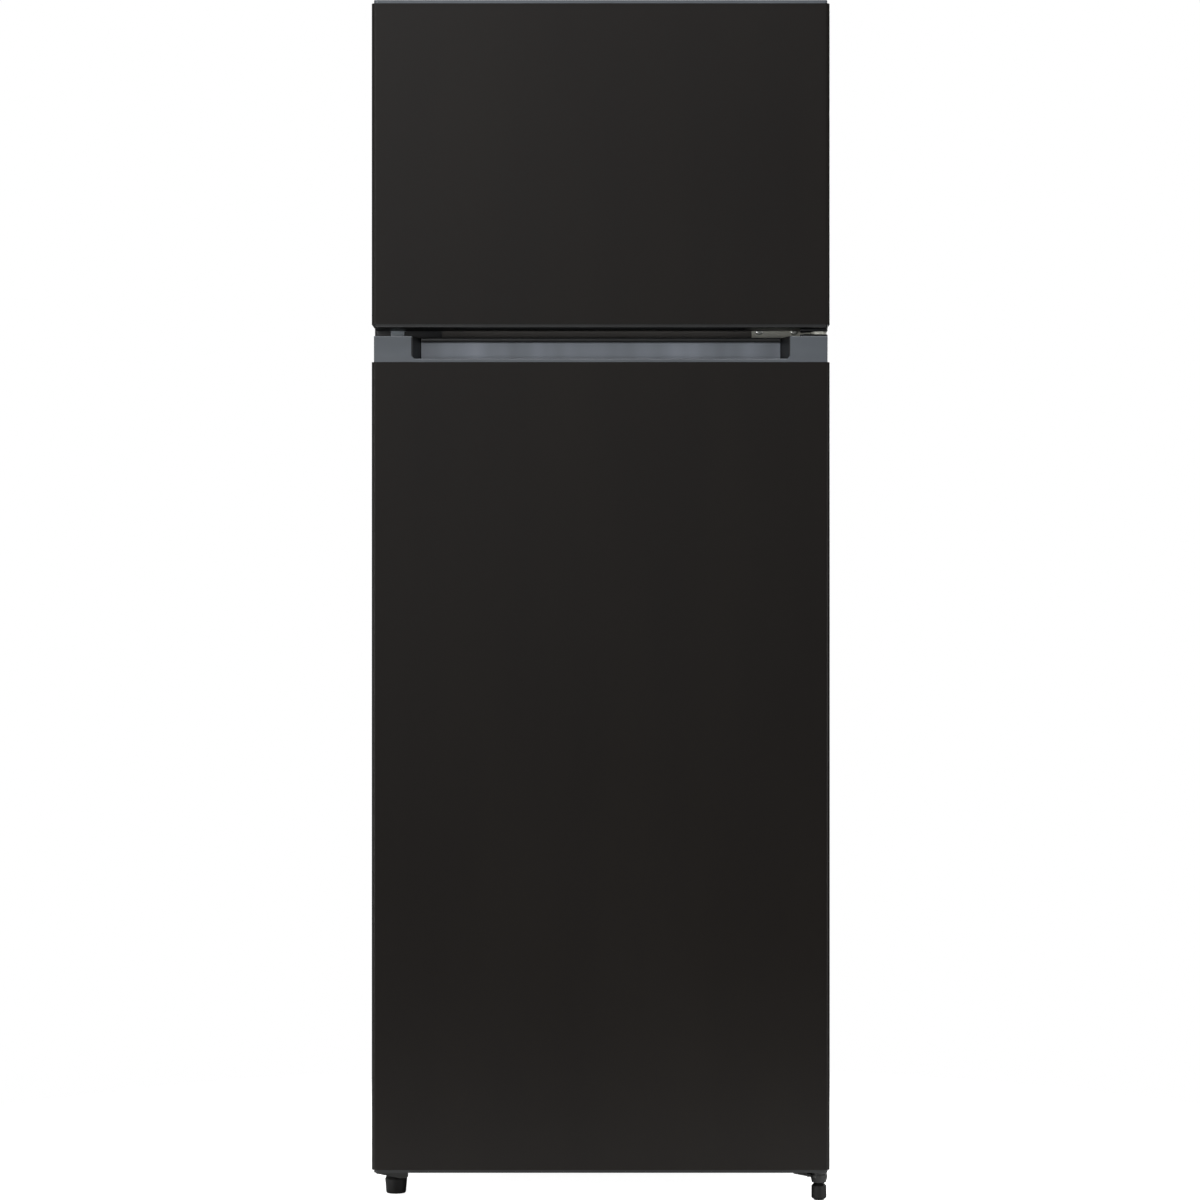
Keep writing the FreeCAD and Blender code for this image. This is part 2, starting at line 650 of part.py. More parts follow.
# ---------------------------------------------------------------- hinges, feet and their screws
def hinge_arm(item, reach, low, high, radius):
    """A bar from the cabinet to the pin, round at the pin."""
    pad(item, "XY", [rect(pin_x - radius, pin_x + radius, pin_y, reach)], low, high)
    pad(item, "XY", [(pin_x, pin_y, radius)], low, high)


def top_hinge_outline(grow):
    """Left, right, front and back of the plate that is screwed to the cabinet top."""
    right = half - mm.cover_play - mm.cover_wall
    return (right - mm.top_hinge_width - grow, right + grow,
            cabinet_front + mm.cover_play + mm.cover_wall - grow, cabinet_front + mm.top_hinge_length + grow)


def top_hinge():
    """The plate on the cabinet top, its arm and the pin that hangs from it."""
    item = body("top_hinge_forging")
    top = cabinet_top + mm.hinge_plate
    left, right, near, far = top_hinge_outline(0)
    pad(item, "XY", [rect(left, right, near, far)], cabinet_top, top)
    soften(item, mm.plate_corner, edge("Z", x=[left], y=[near, far]), edge("Z", x=[right], y=[far]))
    hinge_arm(item, far, cabinet_top, top, mm.hinge_eye)
    pad(item, "XY", [(pin_x, pin_y, mm.pin_radius)], top - mm.pin_length, top)
    return item


def top_hinge_cover():
    """A moulded cap over the top hinge, open below."""
    item = body("top_hinge_cover")
    wall = mm.cover_play + mm.cover_wall
    left, right, near, far = top_hinge_outline(wall)
    pad(item, "XY", [rect(left, right, near, far)], cabinet_top, mm.height)
    soften(item, mm.plate_corner, edge("Z", x=[left], y=[near, far]), edge("Z", x=[right], y=[far]))
    hinge_arm(item, far, cabinet_top, mm.height, mm.hinge_eye + wall)
    soften(item, mm.cover_wall, edge("X", z=[mm.height]), edge("Y", x=[left], z=[mm.height]))
    left, right, near, far = top_hinge_outline(mm.cover_play)
    under = mm.height - mm.cover_wall
    cut(item, "XY", [rect(left, right, near, far)], cabinet_top, under)
    cut(item, "XY", [rect(pin_x - mm.hinge_eye - mm.cover_play, pin_x + mm.hinge_eye + mm.cover_play,
                          pin_y, near + mm.cover_wall)], cabinet_top, under)
    cut(item, "XY", [(pin_x, pin_y, mm.hinge_eye + mm.cover_play)], cabinet_top, under)
    return item


def middle_hinge():
    """A flange on the rail, an arm in the gap between the doors, and a pin up and a pin down."""
    item = body("middle_hinge_forging")
    low = gap_middle - mm.hinge_plate / 2
    high = gap_middle + mm.hinge_plate / 2
    face = cabinet_front - mm.hinge_plate
    left = pin_x - mm.mid_hinge_width
    right = pin_x + mm.hinge_eye
    flange = [rect(left, right, gap_middle - mm.mid_hinge_height / 2, gap_middle + mm.mid_hinge_height / 2)]
    pad(item, "XZ", flange, face, cabinet_front)
    soften(item, mm.plate_corner, edge("Y", x=[left, right]))
    hinge_arm(item, face, low, high, mm.hinge_eye)
    pad(item, "XY", [(pin_x, pin_y, mm.pin_radius)], low - mm.pin_length, high + mm.pin_length)
    pad(item, "XY", [(pin_x, pin_y, mm.collar_radius)], grip_top + mm.collar_play,
        freezer_door_low - mm.collar_play)
    return item


def corner_bracket(item, side):
    """The pressed plate under a front corner of the cabinet, and its front apron, which deepens to the right."""
    outer = side * (half - mm.shell_edge)
    inner = side * (half - mm.low_hinge_width)
    left, right = (outer, inner) if side < 0 else (inner, outer)
    back = cabinet_front + mm.low_hinge_back
    low = cabinet_low - mm.hinge_plate
    shallow = cabinet_low - mm.apron_end
    deep = cabinet_low - mm.apron_drop
    pad(item, "XZ", [[(left, shallow), (right - mm.apron_flat, deep), (right, deep), (right, cabinet_low),
                      (left, cabinet_low)]], cabinet_front, cabinet_front + mm.hinge_plate)
    soften(item, mm.apron_round, edge("Y", x=[right], z=[deep]))
    pad(item, "XY", [rect(left, right, cabinet_front, back)], low, cabinet_low)
    soften(item, mm.plate_corner, edge("Z", y=[back]))


def bottom_hinge():
    """The right corner bracket with its arm, the hollow lower pin and the flared nut for the foot."""
    item = body("bottom_hinge_forging")
    corner_bracket(item, 1)
    low = cabinet_low - mm.hinge_plate
    pad(item, "XY", [rect(pin_x - mm.nut_radius, half - mm.shell_edge, pin_y, cabinet_front)], low, cabinet_low)
    pad(item, "XY", [(pin_x, pin_y, mm.hinge_side - mm.shell_edge)], low, cabinet_low)
    pad(item, "XY", [(pin_x, pin_y, mm.collar_radius)], cabinet_low, mm.door_low - mm.collar_play)
    pad(item, "XY", [(pin_x, pin_y, mm.low_pin_radius)], cabinet_low, cabinet_low + mm.low_pin_length)
    turn(item, [(0, low - mm.nut_high), (mm.nut_base, low - mm.nut_high),
                (mm.hinge_side - mm.shell_edge, low), (0, low)], pin_x, pin_y)
    cut(item, "XY", [(pin_x, pin_y, mm.stud_radius + mm.stud_play)], low - mm.nut_high,
        mm.knob_foot_high + mm.foot_stud + mm.pin_end)
    return item


foot_x = (half - mm.foot_side) * -1
foot_y = cabinet_front + mm.foot_set


def left_foot_bracket():
    """The left corner bracket, with the threaded hole for the left foot."""
    item = body("left_foot_forging")
    corner_bracket(item, -1)
    cut(item, "XY", [(foot_x, foot_y, mm.stud_radius + mm.stud_play)], cabinet_low - mm.hinge_plate, cabinet_low)
    return item


def front_foot_left():
    """A round plastic foot that tapers down, on a steel stud."""
    item = body("front_foot_left")
    turn(item, [(0, 0), (mm.foot_base, 0), (mm.foot_heel, mm.foot_bevel),
                (mm.foot_radius, mm.foot_high - mm.foot_rim),
                (mm.foot_radius - mm.foot_bevel, mm.foot_high), (mm.stud_radius, mm.foot_high),
                (mm.stud_radius, mm.foot_high + mm.foot_stud), (0, mm.foot_high + mm.foot_stud)],
         foot_x, foot_y)
    return item


def front_foot_right():
    """A slimmer foot whose stud screws up into the hollow pin of the bottom hinge."""
    item = body("front_foot_right")
    shoulder = mm.knob_foot_step
    high = mm.knob_foot_high
    turn(item, [(0, 0), (mm.knob_foot_base, 0), (mm.knob_foot_base, shoulder),
                (mm.knob_foot_radius - shoulder, shoulder), (mm.knob_foot_radius, shoulder * 2),
                (mm.knob_foot_radius, high - shoulder * 2), (mm.knob_foot_radius - shoulder * 2, high),
                (mm.stud_radius, high), (mm.stud_radius, high + mm.foot_stud), (0, high + mm.foot_stud)],
         pin_x, pin_y)
    return item


def screw(item, plane, u, v, seat, way):
    """A screw whose head sits on seat; way is 1 where its head points up or back, -1 otherwise."""
    ends = sorted((seat, seat + mm.head_height * way), key=number_of)
    pad(item, plane, [(u, v, mm.screw_head)], *ends)
    ends = sorted((seat, seat - mm.screw_length * way), key=number_of)
    pad(item, plane, [(u, v, mm.screw_radius)], *ends)


def hinge_screws():
    """Three screws in the top hinge, two in the middle one and three under each front corner."""
    item = body("hinge_screws")
    left, right, near, far = top_hinge_outline(0)
    margin = mm.screw_head * 2
    top = cabinet_top + mm.hinge_plate
    for x, y in ((left + margin, near + margin), (left + margin, far - margin), (right - margin, far - margin)):
        screw(item, "XY", x, y, top, 1)
    for x in (pin_x - mm.mid_hinge_width + margin, pin_x - mm.mid_screw_side):
        screw(item, "XZ", x, gap_middle + mm.mid_screw_rise, cabinet_front - mm.hinge_plate, -1)
    low = cabinet_low - mm.hinge_plate
    back = cabinet_front + mm.low_hinge_back - margin
    for side in (-1, 1):
        for x in (side * (half - margin), side * (half - mm.low_hinge_width + margin)):
            screw(item, "XY", x, back, low, -1)
    return item


# ---------------------------------------------------------------- cabinet
def cabinet_shell():
    """One painted steel wrap: left side, top and right side, folded in at the front."""
    item = body("cabinet_shell_wrap")
    pad(item, "XZ", [rect(-half, half, cabinet_low, cabinet_top)], cabinet_front, cabinet_back)
    soften(item, mm.shell_edge, edge("Y", z=[cabinet_top]), edge("Z", y=[cabinet_front]),
           edge("X", y=[cabinet_front], z=[cabinet_top]))
    near = cabinet_front + steel
    cut(item, "XZ", [rect(-inside, inside, cabinet_low, cabinet_top - steel)], near, cabinet_back)
    cut(item, "XZ", [rect(-flange_edge, flange_edge, cabinet_low, cabinet_top - mm.flange)], cabinet_front, near)
    return item


def back_panel():
    """The galvanised sheet that closes the foam above the compressor bay."""
    return block("back_panel", -inside, inside, cabinet_back - steel, cabinet_back,
                 bay_top + steel, cabinet_top - steel)


def base_pan():
    """The steel floor: front upturn, bottom, riser and roof of the compressor bay."""
    item = body("base_pan_sheet")
    near = cabinet_front + steel
    pad(item, "YZ", [[(near, cabinet_low), (bay_front, cabinet_low), (bay_front, bay_top),
                      (cabinet_back, bay_top), (cabinet_back, bay_top + steel),
                      (bay_front - steel, bay_top + steel), (bay_front - steel, cabinet_low + steel),
                      (near, cabinet_low + steel)]], -inside, inside)
    pad(item, "XZ", [rect(-flange_edge, flange_edge, cabinet_low, cabinet_low + mm.pan_upturn)],
        cabinet_front, near)
    cut(item, "XY", [(mm.compressor_right, drain_y, mm.drain_radius)], bay_top, bay_top + steel)
    cut(item, "XY", [(foot_x, foot_y, mm.stud_radius + mm.stud_play)], cabinet_low, cabinet_low + steel)
    return item


def mullion_rail():
    """The dark steel channel between the two openings, which holds the middle hinge."""
    item = body("mullion_rail_channel")
    near = cabinet_front
    far = cabinet_front + mm.rail_return
    pad(item, "YZ", [[(near, rail_low), (far, rail_low), (far, rail_low + steel), (near + steel, rail_low + steel),
                      (near + steel, rail_high - steel), (far, rail_high - steel), (far, rail_high),
                      (near, rail_high)]], -flange_edge, flange_edge)
    return item


def freezer_room(name, grow):
    """The freezer cavity as a solid, larger by grow on every side but the front."""
    item = body(name)
    side = freezer_half + grow
    low = freezer_low - grow
    high = freezer_top + grow
    far = freezer_rear + grow
    pad(item, "XZ", [rect(-side, side, low, high)], cabinet_front, far)
    soften(item, mm.liner_corner + grow, edge("Y"), edge("X", y=[far]), edge("Z", y=[far]))
    return item


def fridge_room(name, grow):
    """The fridge cavity as a solid, with the step over the compressor bay and the drain trough in the step."""
    item = body(name)
    side = fridge_half + grow
    low = fridge_low - grow
    high = fridge_top + grow
    step = step_front + grow
    ledge = step_top - grow
    far = fridge_rear + grow
    pad(item, "YZ", [[(cabinet_front, low), (step, low), (step, ledge), (far, ledge), (far, high),
                      (cabinet_front, high)]], -side, side)
    soften(item, mm.liner_corner + grow, edge("Y"), edge("X", y=[step], z=[low]), edge("Z", y=[step, far]),
           edge("X", y=[far]))
    brim = step_top + mm.trough_end
    end = mm.trough_half + grow
    shallow = step_top - mm.trough_end - grow
    deep = trough_low - grow
    well = mm.drain_radius + grow
    wide = mm.trough_wide / 2 + grow
    pad(item, "XZ", [[(-end, brim), (-end, shallow), (mm.compressor_right - well, deep),
                      (mm.compressor_right + well, deep), (end, shallow), (end, brim)]],
        drain_y - wide, drain_y + wide)
    return item


def ribs(name, reach, near, far, *levels):
    """Shelf ribs on both side walls; levels are the undersides of the shelves they carry."""
    item = body(name)
    for level in levels:
        for left, right in ((-reach, mm.rib_out - reach), (reach - mm.rib_out, reach)):
            pad(item, "XZ", [rect(left, right, level - mm.rib_high, level)], near + mm.rib_end, far - mm.rib_end)
    return item


def freezer_liner(form, room):
    """The white freezer tub with ribs for its wire shelf."""
    tub = minus("freezer_tub", form, room)
    rib = ribs("freezer_ribs", freezer_half + plastic / 2, shelf_front, freezer_rear, freezer_shelf_low)
    return union("freezer_liner", tub, rib)


def fridge_liner(form, room):
    """The white fridge tub with ribs for two shelves and the crisper cover."""
    tub = minus("fridge_tub", form, room)
    rib = ribs("fridge_ribs", fridge_half + plastic / 2, shelf_front, fridge_rear,
               *shelf_levels)
    hole = rod("fridge_drain_hole", mm.compressor_right, drain_y, mm.drain_bore, trough_low - plastic, trough_low)
    return minus("fridge_liner", union("fridge_tub_with_ribs", tub, rib), hole)


def liner_form(name, room, left, right, low, high):
    """The outside of a liner: its tub and the flange round the mouth."""
    lip = block(f"{name}_lip", left, right, cabinet_front, cabinet_front + plastic, low, high)
    return union(name, room, lip)


def evaporators():
    """Roll bond sheets inside the foam: one bent round the freezer tub, one flat behind the fridge tub."""
    item = body("evaporators")
    gap = plastic
    thick = gap + mm.evaporator_sheet
    side = freezer_half - mm.evaporator_side
    near = cabinet_front + mm.evaporator_set
    plate_top = fridge_top - mm.cold_plate_drop
    pad(item, "YZ", [[(near, freezer_low - gap), (near, freezer_low - thick),
                      (freezer_rear + thick, freezer_low - thick), (freezer_rear + thick, freezer_top + thick),
                      (near, freezer_top + thick), (near, freezer_top + gap),
                      (freezer_rear + gap, freezer_top + gap), (freezer_rear + gap, freezer_low - gap)]],
        -side, side)
    pad(item, "XZ", [rect(-side, side, plate_top - mm.cold_plate_high, plate_top)],
        fridge_rear + gap, fridge_rear + thick)
    return item


def drain_tube():
    """Leads defrost water through the foam and the bay roof to the evaporating tray."""
    item = body("drain_tube")
    x = mm.compressor_right
    pad(item, "XY", [(x, drain_y, mm.drain_radius), (x, drain_y, mm.drain_bore)],
        bay_top - mm.drain_out, trough_low - plastic)
    return item


def foam_block():
    """The space between shell, pan and back panel, before the liners are taken out."""
    item = body("cabinet_foam_block")
    near = cabinet_front + steel
    far = cabinet_back - steel
    top = cabinet_top - steel
    low = cabinet_low + steel
    pad(item, "YZ", [[(near, low), (bay_front - steel, low), (bay_front - steel, bay_top + steel),
                      (far, bay_top + steel), (far, top), (near, top)]], -inside, inside)
    return item


def foam_partings():
    """Hairline gaps that part the foam into plain walls, each a little inside the round corners of the tubs."""
    item = body("foam_partings")
    gap = mm.parting
    inset = mm.parting_set - plastic
    freezer_inset = mm.freezer_parting_set - plastic
    bay_roof = bay_top + steel
    freezer_side = freezer_half - freezer_inset
    fridge_side = fridge_half - inset
    for level in (gap_middle, bay_roof):
        pad(item, "XY", [rect(-half, half, cabinet_front, cabinet_back)], level, level + gap)
    for side, low, high in ((freezer_side, gap_middle, cabinet_top), (fridge_side, cabinet_low, gap_middle)):
        pad(item, "XZ", [rect(side, side + gap, low, high)], cabinet_front, cabinet_back)
        pad(item, "XZ", [rect(-side - gap, -side, low, high)], cabinet_front, cabinet_back)
    for side, far, low, high in ((freezer_half, freezer_rear - freezer_inset, gap_middle, cabinet_top),
                                 (fridge_half, fridge_rear - inset, bay_roof, gap_middle),
                                 (fridge_half, step_front - inset, cabinet_low, bay_roof)):
        pad(item, "XY", [rect(-side, side, far, far + gap)], low, high)
    return item


screws = node(hinge_screws())
node(minus("top_hinge", top_hinge(), screws))
node(top_hinge_cover())
node(minus("middle_hinge", middle_hinge(), screws))
node(minus("bottom_hinge", bottom_hinge(), screws))
node(minus("left_foot_bracket", left_foot_bracket(), screws))
node(front_foot_left())
node(front_foot_right())

node(minus("cabinet_shell", cabinet_shell(), screws))
node(back_panel())
pan = node(minus("base_pan", base_pan(), screws))
rail = node(minus("mullion_rail", mullion_rail(), screws))
freezer_form = liner_form("freezer_form", freezer_room("freezer_form_tub", plastic),
                          -flange_edge, flange_edge, rail_high, cabinet_top - mm.flange)
fridge_form = liner_form("fridge_form", fridge_room("fridge_form_tub", plastic),
                         -flange_edge, flange_edge, cabinet_low + mm.pan_upturn, rail_low)
node(freezer_liner(freezer_form, freezer_room("freezer_room", ZERO)))
node(fridge_liner(fridge_form, fridge_room("fridge_room", ZERO)))
cold_plates = node(evaporators())
node(drain_tube())
drain = rod("drain_way", mm.compressor_right, drain_y, mm.drain_radius, bay_top, step_top)
stud_way = rod("stud_way", foot_x, foot_y, mm.stud_radius + mm.stud_play, cabinet_low,
               mm.foot_high + mm.foot_stud + mm.pin_end)
node(minus("cabinet_foam", foam_block(), freezer_form, fridge_form, rail, cold_plates, drain,
           stud_way, screws, foam_partings()))


# ---------------------------------------------------------------- doors
recess_low = cabinet_top - mm.arm_gap
recess_near = front + mm.recess_lip
cap_side = half - mm.cap_inset
cap_near = front + mm.cap_back
trim_near = front + mm.trim_back
trim_far = trim_near + mm.trim_wall
lip_top = fridge_skin_top + mm.lip_height
grip_floor = fridge_skin_top - mm.grip_drop
grip_far = front + mm.grip_depth
grip_half = cap_side - mm.post_width
skirt_half = grip_half - mm.lip_corner
grip_rear_half = grip_half - mm.grip_end


def hinge_recess(name):
    """The corner of the freezer door that makes room for the top hinge."""
    beyond = mm.recess_lip
    return block(name, pin_x - mm.recess_left, half + beyond, recess_near, door_back + beyond,
                 recess_low, mm.height + beyond)


def door_skin(name, low, high):
    """Painted sheet bent round the front and sides, with returns behind."""
    item = body(name)
    pad(item, "XY", [rect(-half, half, front, skin_back)], low, high)
    cut(item, "XY", [rect(-inside, inside, front + steel, skin_back - steel)], low, high)
    gap = half - mm.skin_return
    cut(item, "XY", [rect(-gap, gap, skin_back - steel, skin_back)], low, high)
    soften(item, mm.door_edge - steel, edge("Z", x=[-inside, inside], y=[front + steel]))
    soften(item, mm.door_edge, edge("Z", x=[-half, half], y=[front]))
    return item


def cap_plate(item, low, high):
    """The flat of an end cap, a little inside the outline of its skin."""
    pad(item, "XY", [rect(-cap_side, cap_side, cap_near, skin_back)], low, high)
    soften(item, mm.door_edge - mm.cap_back, edge("Z", x=[-cap_side, cap_side], y=[cap_near]))


def cap_skirt(item, low, high):
    """The rim of an end cap that fits inside the skin."""
    near = front + steel
    far = skin_back - steel
    wall = mm.cap_wall
    pad(item, "XY", [rect(-inside, inside, near, far),
                     rect(wall - inside, inside - wall, near + wall, far - wall)], low, high)
    soften(item, mm.door_edge - steel, edge("Z", x=[-inside, inside], y=[near]))


def boss(item, low, high):
    """The thick corner of an end cap round its hinge pin."""
    reach = mm.boss_half
    pad(item, "XY", [rect(pin_x - reach, pin_x + reach, pin_y - reach, pin_y + reach)], low, high)


def freezer_top_cap():
    """The upper end cap, with the corner left open for the top hinge."""
    item = body("freezer_top_cap_moulding")
    skin_end = mm.height - mm.top_lip
    pin_end = cabinet_top + mm.hinge_plate - mm.pin_length - mm.pin_end
    cap_plate(item, skin_end, mm.height)
    cap_skirt(item, skin_end - mm.cap_plug, skin_end)
    pad(item, "XY", [rect(pin_x - mm.recess_left - mm.cap_wall, inside, front + mm.door_edge, skin_back - steel)],
        recess_low - mm.cap_wall, skin_end)
    boss(item, pin_end - mm.cap_wall, skin_end)
    cut(item, "XY", [(pin_x, pin_y, mm.pin_radius + mm.pin_play)], pin_end, mm.height)
    return minus("freezer_top_cap", item, hinge_recess("freezer_cap_recess"))


def freezer_bottom_cap():
    """The lower end cap, with the pull that fingers reach from below."""
    item = body("freezer_bottom_cap")
    skin_end = freezer_door_low + mm.low_lip
    pin_end = gap_middle + mm.hinge_plate / 2 + mm.pin_length + mm.pin_end
    wall = mm.cap_wall
    pull = half - mm.pull_side
    near = front + mm.pull_front
    far = near + mm.pull_width
    high = freezer_door_low + mm.pull_rise
    cap_plate(item, freezer_door_low, skin_end)
    cap_skirt(item, skin_end, skin_end + mm.cap_plug)
    pad(item, "XY", [rect(-pull - wall, pull + wall, near - wall, far + wall)], freezer_door_low, high + wall)
    boss(item, freezer_door_low, pin_end + wall)
    cut(item, "XY", [rect(-pull, pull, near, far)], freezer_door_low, high)
    soften(item, wall, edge("X", x=[0], y=[near, far], z=[freezer_door_low]))
    cut(item, "XY", [(pin_x, pin_y, mm.pin_radius + mm.pin_play)], freezer_door_low, pin_end)
    return item


def fridge_bottom_cap():
    """The lower end cap, with the socket for the bottom hinge pin."""
    item = body("fridge_bottom_cap")
    skin_end = mm.door_low + mm.low_lip
    pin_end = cabinet_low + mm.low_pin_length + mm.pin_end
    cap_plate(item, mm.door_low, skin_end)
    cap_skirt(item, skin_end, skin_end + mm.cap_plug)
    boss(item, mm.door_low, pin_end + mm.cap_wall)
    cut(item, "XY", [(pin_x, pin_y, mm.low_pin_radius + mm.pin_play)], mm.door_low, pin_end)
    return item


def grip_outline(near, grow):
    """The plan of the grip: wide in front, narrower behind, larger by grow."""
    return [(-grip_half - grow, near), (grip_half + grow, near),
            (grip_rear_half + grow, grip_far + grow), (-grip_rear_half - grow, grip_far + grow)]


def fridge_top_cap():
    """The dark upper end cap, with the pocket behind the grey trim."""
    item = body("fridge_top_cap")
    wall = mm.cap_wall
    pin_end = gap_middle - mm.hinge_plate / 2 - mm.pin_length - mm.pin_end
    pad(item, "XY", [rect(-cap_side, cap_side, trim_far, skin_back)], fridge_skin_top, grip_top)
    cut(item, "XY", [rect(wall - cap_side, cap_side - wall, trim_far + wall, skin_back - wall)],
        fridge_skin_top, grip_top - wall)
    cap_skirt(item, fridge_skin_top - mm.cap_plug, fridge_skin_top)
    pad(item, "XY", [grip_outline(trim_far, wall)], grip_floor - wall, grip_top)
    boss(item, pin_end - wall, grip_top)
    cut(item, "XY", [grip_outline(front, ZERO)], grip_floor, grip_top)
    cut(item, "XY", [(pin_x, pin_y, mm.pin_radius + mm.pin_play)], pin_end, grip_top)
    return item


def grip_trim():
    """The grey moulding between the doors: two posts, the lip, the floor and the back of the grip."""
    item = body("grip_trim")
    corner = mm.lip_corner
    pad(item, "XZ", [[(-cap_side, fridge_skin_top), (cap_side, fridge_skin_top), (cap_side, grip_top),
                      (grip_half, grip_top), (grip_half, lip_top + corner), (skirt_half, lip_top),
                      (-skirt_half, lip_top), (-grip_half, lip_top + corner), (-grip_half, grip_top),
                      (-cap_side, grip_top)]], trim_near, trim_far)
    soften(item, mm.trim_wall / 2, edge("X", x=[0], y=[trim_near], z=[lip_top]),
           edge("X", y=[trim_near], z=[grip_top]), edge("Z", x=[-cap_side, cap_side], y=[trim_near]))
    pad(item, "XZ", [rect(-skirt_half, skirt_half, grip_floor, fridge_skin_top)], front + steel, trim_far)
    rear_half = grip_rear_half
    pad(item, "XY", [[(-skirt_half, front + steel), (skirt_half, front + steel),
                      (rear_half, grip_far), (-rear_half, grip_far)]], grip_floor, grip_floor + mm.trim_wall)
    pad(item, "XZ", [rect(-rear_half, rear_half, grip_floor, grip_top)], grip_far - mm.trim_wall, grip_far)
    return item


def dyke(item, side, low, high, near, far, shrink, crest):
    """The raised frame on the back of a door, smaller by shrink on every face."""
    width = mm.dyke_width
    outer = rect(shrink - side, side - shrink, low + shrink, high - shrink)
    inner = rect(width - side - shrink, side - width + shrink, low + width - shrink, high - width + shrink)
    far = far - shrink
    pad(item, "XZ", [outer, inner], near, far)
    soften(item, crest, edge("X", y=[far]), edge("Z", y=[far]))


def door_liner(name, side, low, high, door, depth, tops):
    """The white moulding on the back of a door: a sheet, its hollow dyke and the lugs for the racks."""
    outer = body(f"{name}_outside")
    edge_in = mm.liner_edge
    pad(outer, "XZ", [rect(edge_in - half, half - edge_in, door[0] + edge_in, door[1] - edge_in)],
        skin_back, door_back)
    dyke(outer, side, low, high, door_back, door_back + depth, ZERO, mm.dyke_round)
    face = side - mm.dyke_width
    near = door_back + mm.lug_set
    for top in tops:
        rim = top - mm.rim_high
        for left, right in ((-face - plastic / 2, mm.lug_out - face), (face - mm.lug_out, face + plastic / 2)):
            pad(outer, "XY", [rect(left, right, near, near + mm.lug_depth)], rim - mm.lug_high, rim)
    inner = body(f"{name}_hollow")
    dyke(inner, side, low, high, skin_back, door_back + depth, plastic, mm.dyke_round - plastic)
    return outer, inner


def door_foam(name, low, high):
    """The room inside a skin, before caps, trim and skin are taken out."""
    item = body(name)
    pad(item, "XY", [rect(-inside, inside, front + steel, skin_back)], low, high)
    soften(item, mm.door_edge - steel, edge("Z", x=[-inside, inside], y=[front + steel]))
    return item


def gasket(name, low, high):
    """The magnetic seal on the back of a door, with a rounded bulb towards the cabinet."""
    item = body(name)
    side = half - mm.gasket_side
    width = mm.gasket_width
    far = cabinet_front - mm.gasket_clear
    pad(item, "XZ", [rect(-side, side, low, high), rect(width - side, side - width, low + width, high - width)],
        door_back, far)
    soften(item, mm.gasket_round, edge("X", y=[far]), edge("Z", y=[far]))
    return item


def door_rack(name, side, depth, height, top):
    """An open moulded rack with round front corners and rims that hang on the lugs."""
    item = body(name)
    wall = mm.rack_wall
    low = top - height
    rim = side - mm.dyke_width - mm.rack_set
    reach = rim - mm.rim_out
    near = door_back + mm.rack_set
    far = near + depth
    pad(item, "XY", [rect(-reach, reach, near, far)], low, top)
    cut(item, "XY", [rect(wall - reach, reach - wall, near + wall, far - wall)], low + wall, top)
    soften(item, mm.rack_corner - wall, edge("Z", y=[far - wall]))
    soften(item, mm.rack_floor_round - wall, edge("X", y=[near + wall, far - wall], z=[low + wall]))
    soften(item, mm.rack_corner, edge("Z", y=[far]))
    soften(item, mm.rack_floor_round, edge("X", y=[near, far], z=[low]))
    cut(item, "XZ", [rect(wall * 2 - reach, reach - wall * 2, top - mm.rack_back, top)], near, near + wall)
    rim_far = door_back + mm.lug_set * 2 + mm.lug_depth
    for left, right in ((-rim, wall - reach), (reach - wall, rim)):
        pad(item, "XY", [rect(left, right, near, rim_far)], top - mm.rim_high, top)
    return item


def egg_tray():
    """A row of round pockets that stands in the upper fridge rack."""
    item = body("egg_tray")
    wall = mm.rack_wall
    low = fridge_top - mm.fridge_rack_drop - mm.rack_height + wall
    high = low + mm.egg_tray_high
    long = fridge_half - mm.dyke_gap - mm.dyke_width - mm.egg_tray_end
    middle = door_back + mm.rack_set + mm.rack_depth / 2
    near = middle - mm.egg_tray_wide / 2
    far = middle + mm.egg_tray_wide / 2
    pad(item, "XY", [rect(-long, long, near, far)], low, high)
    cut(item, "XY", [rect(wall - long, long - wall, near + wall, far - wall)], low, high - wall)
    soften(item, mm.egg_tray_corner - wall, edge("Z", y=[near + wall, far - wall]))
    soften(item, mm.egg_tray_corner, edge("Z", y=[near, far]))
    pitch = long * 2 / mm.egg_count
    hole = cut(item, "XY", [(pitch / 2 - long, middle, mm.egg_radius)], low, high)
    repeat(item, hole, mm.egg_count, pitch * (mm.egg_count - 1), "H_Axis")
    return item


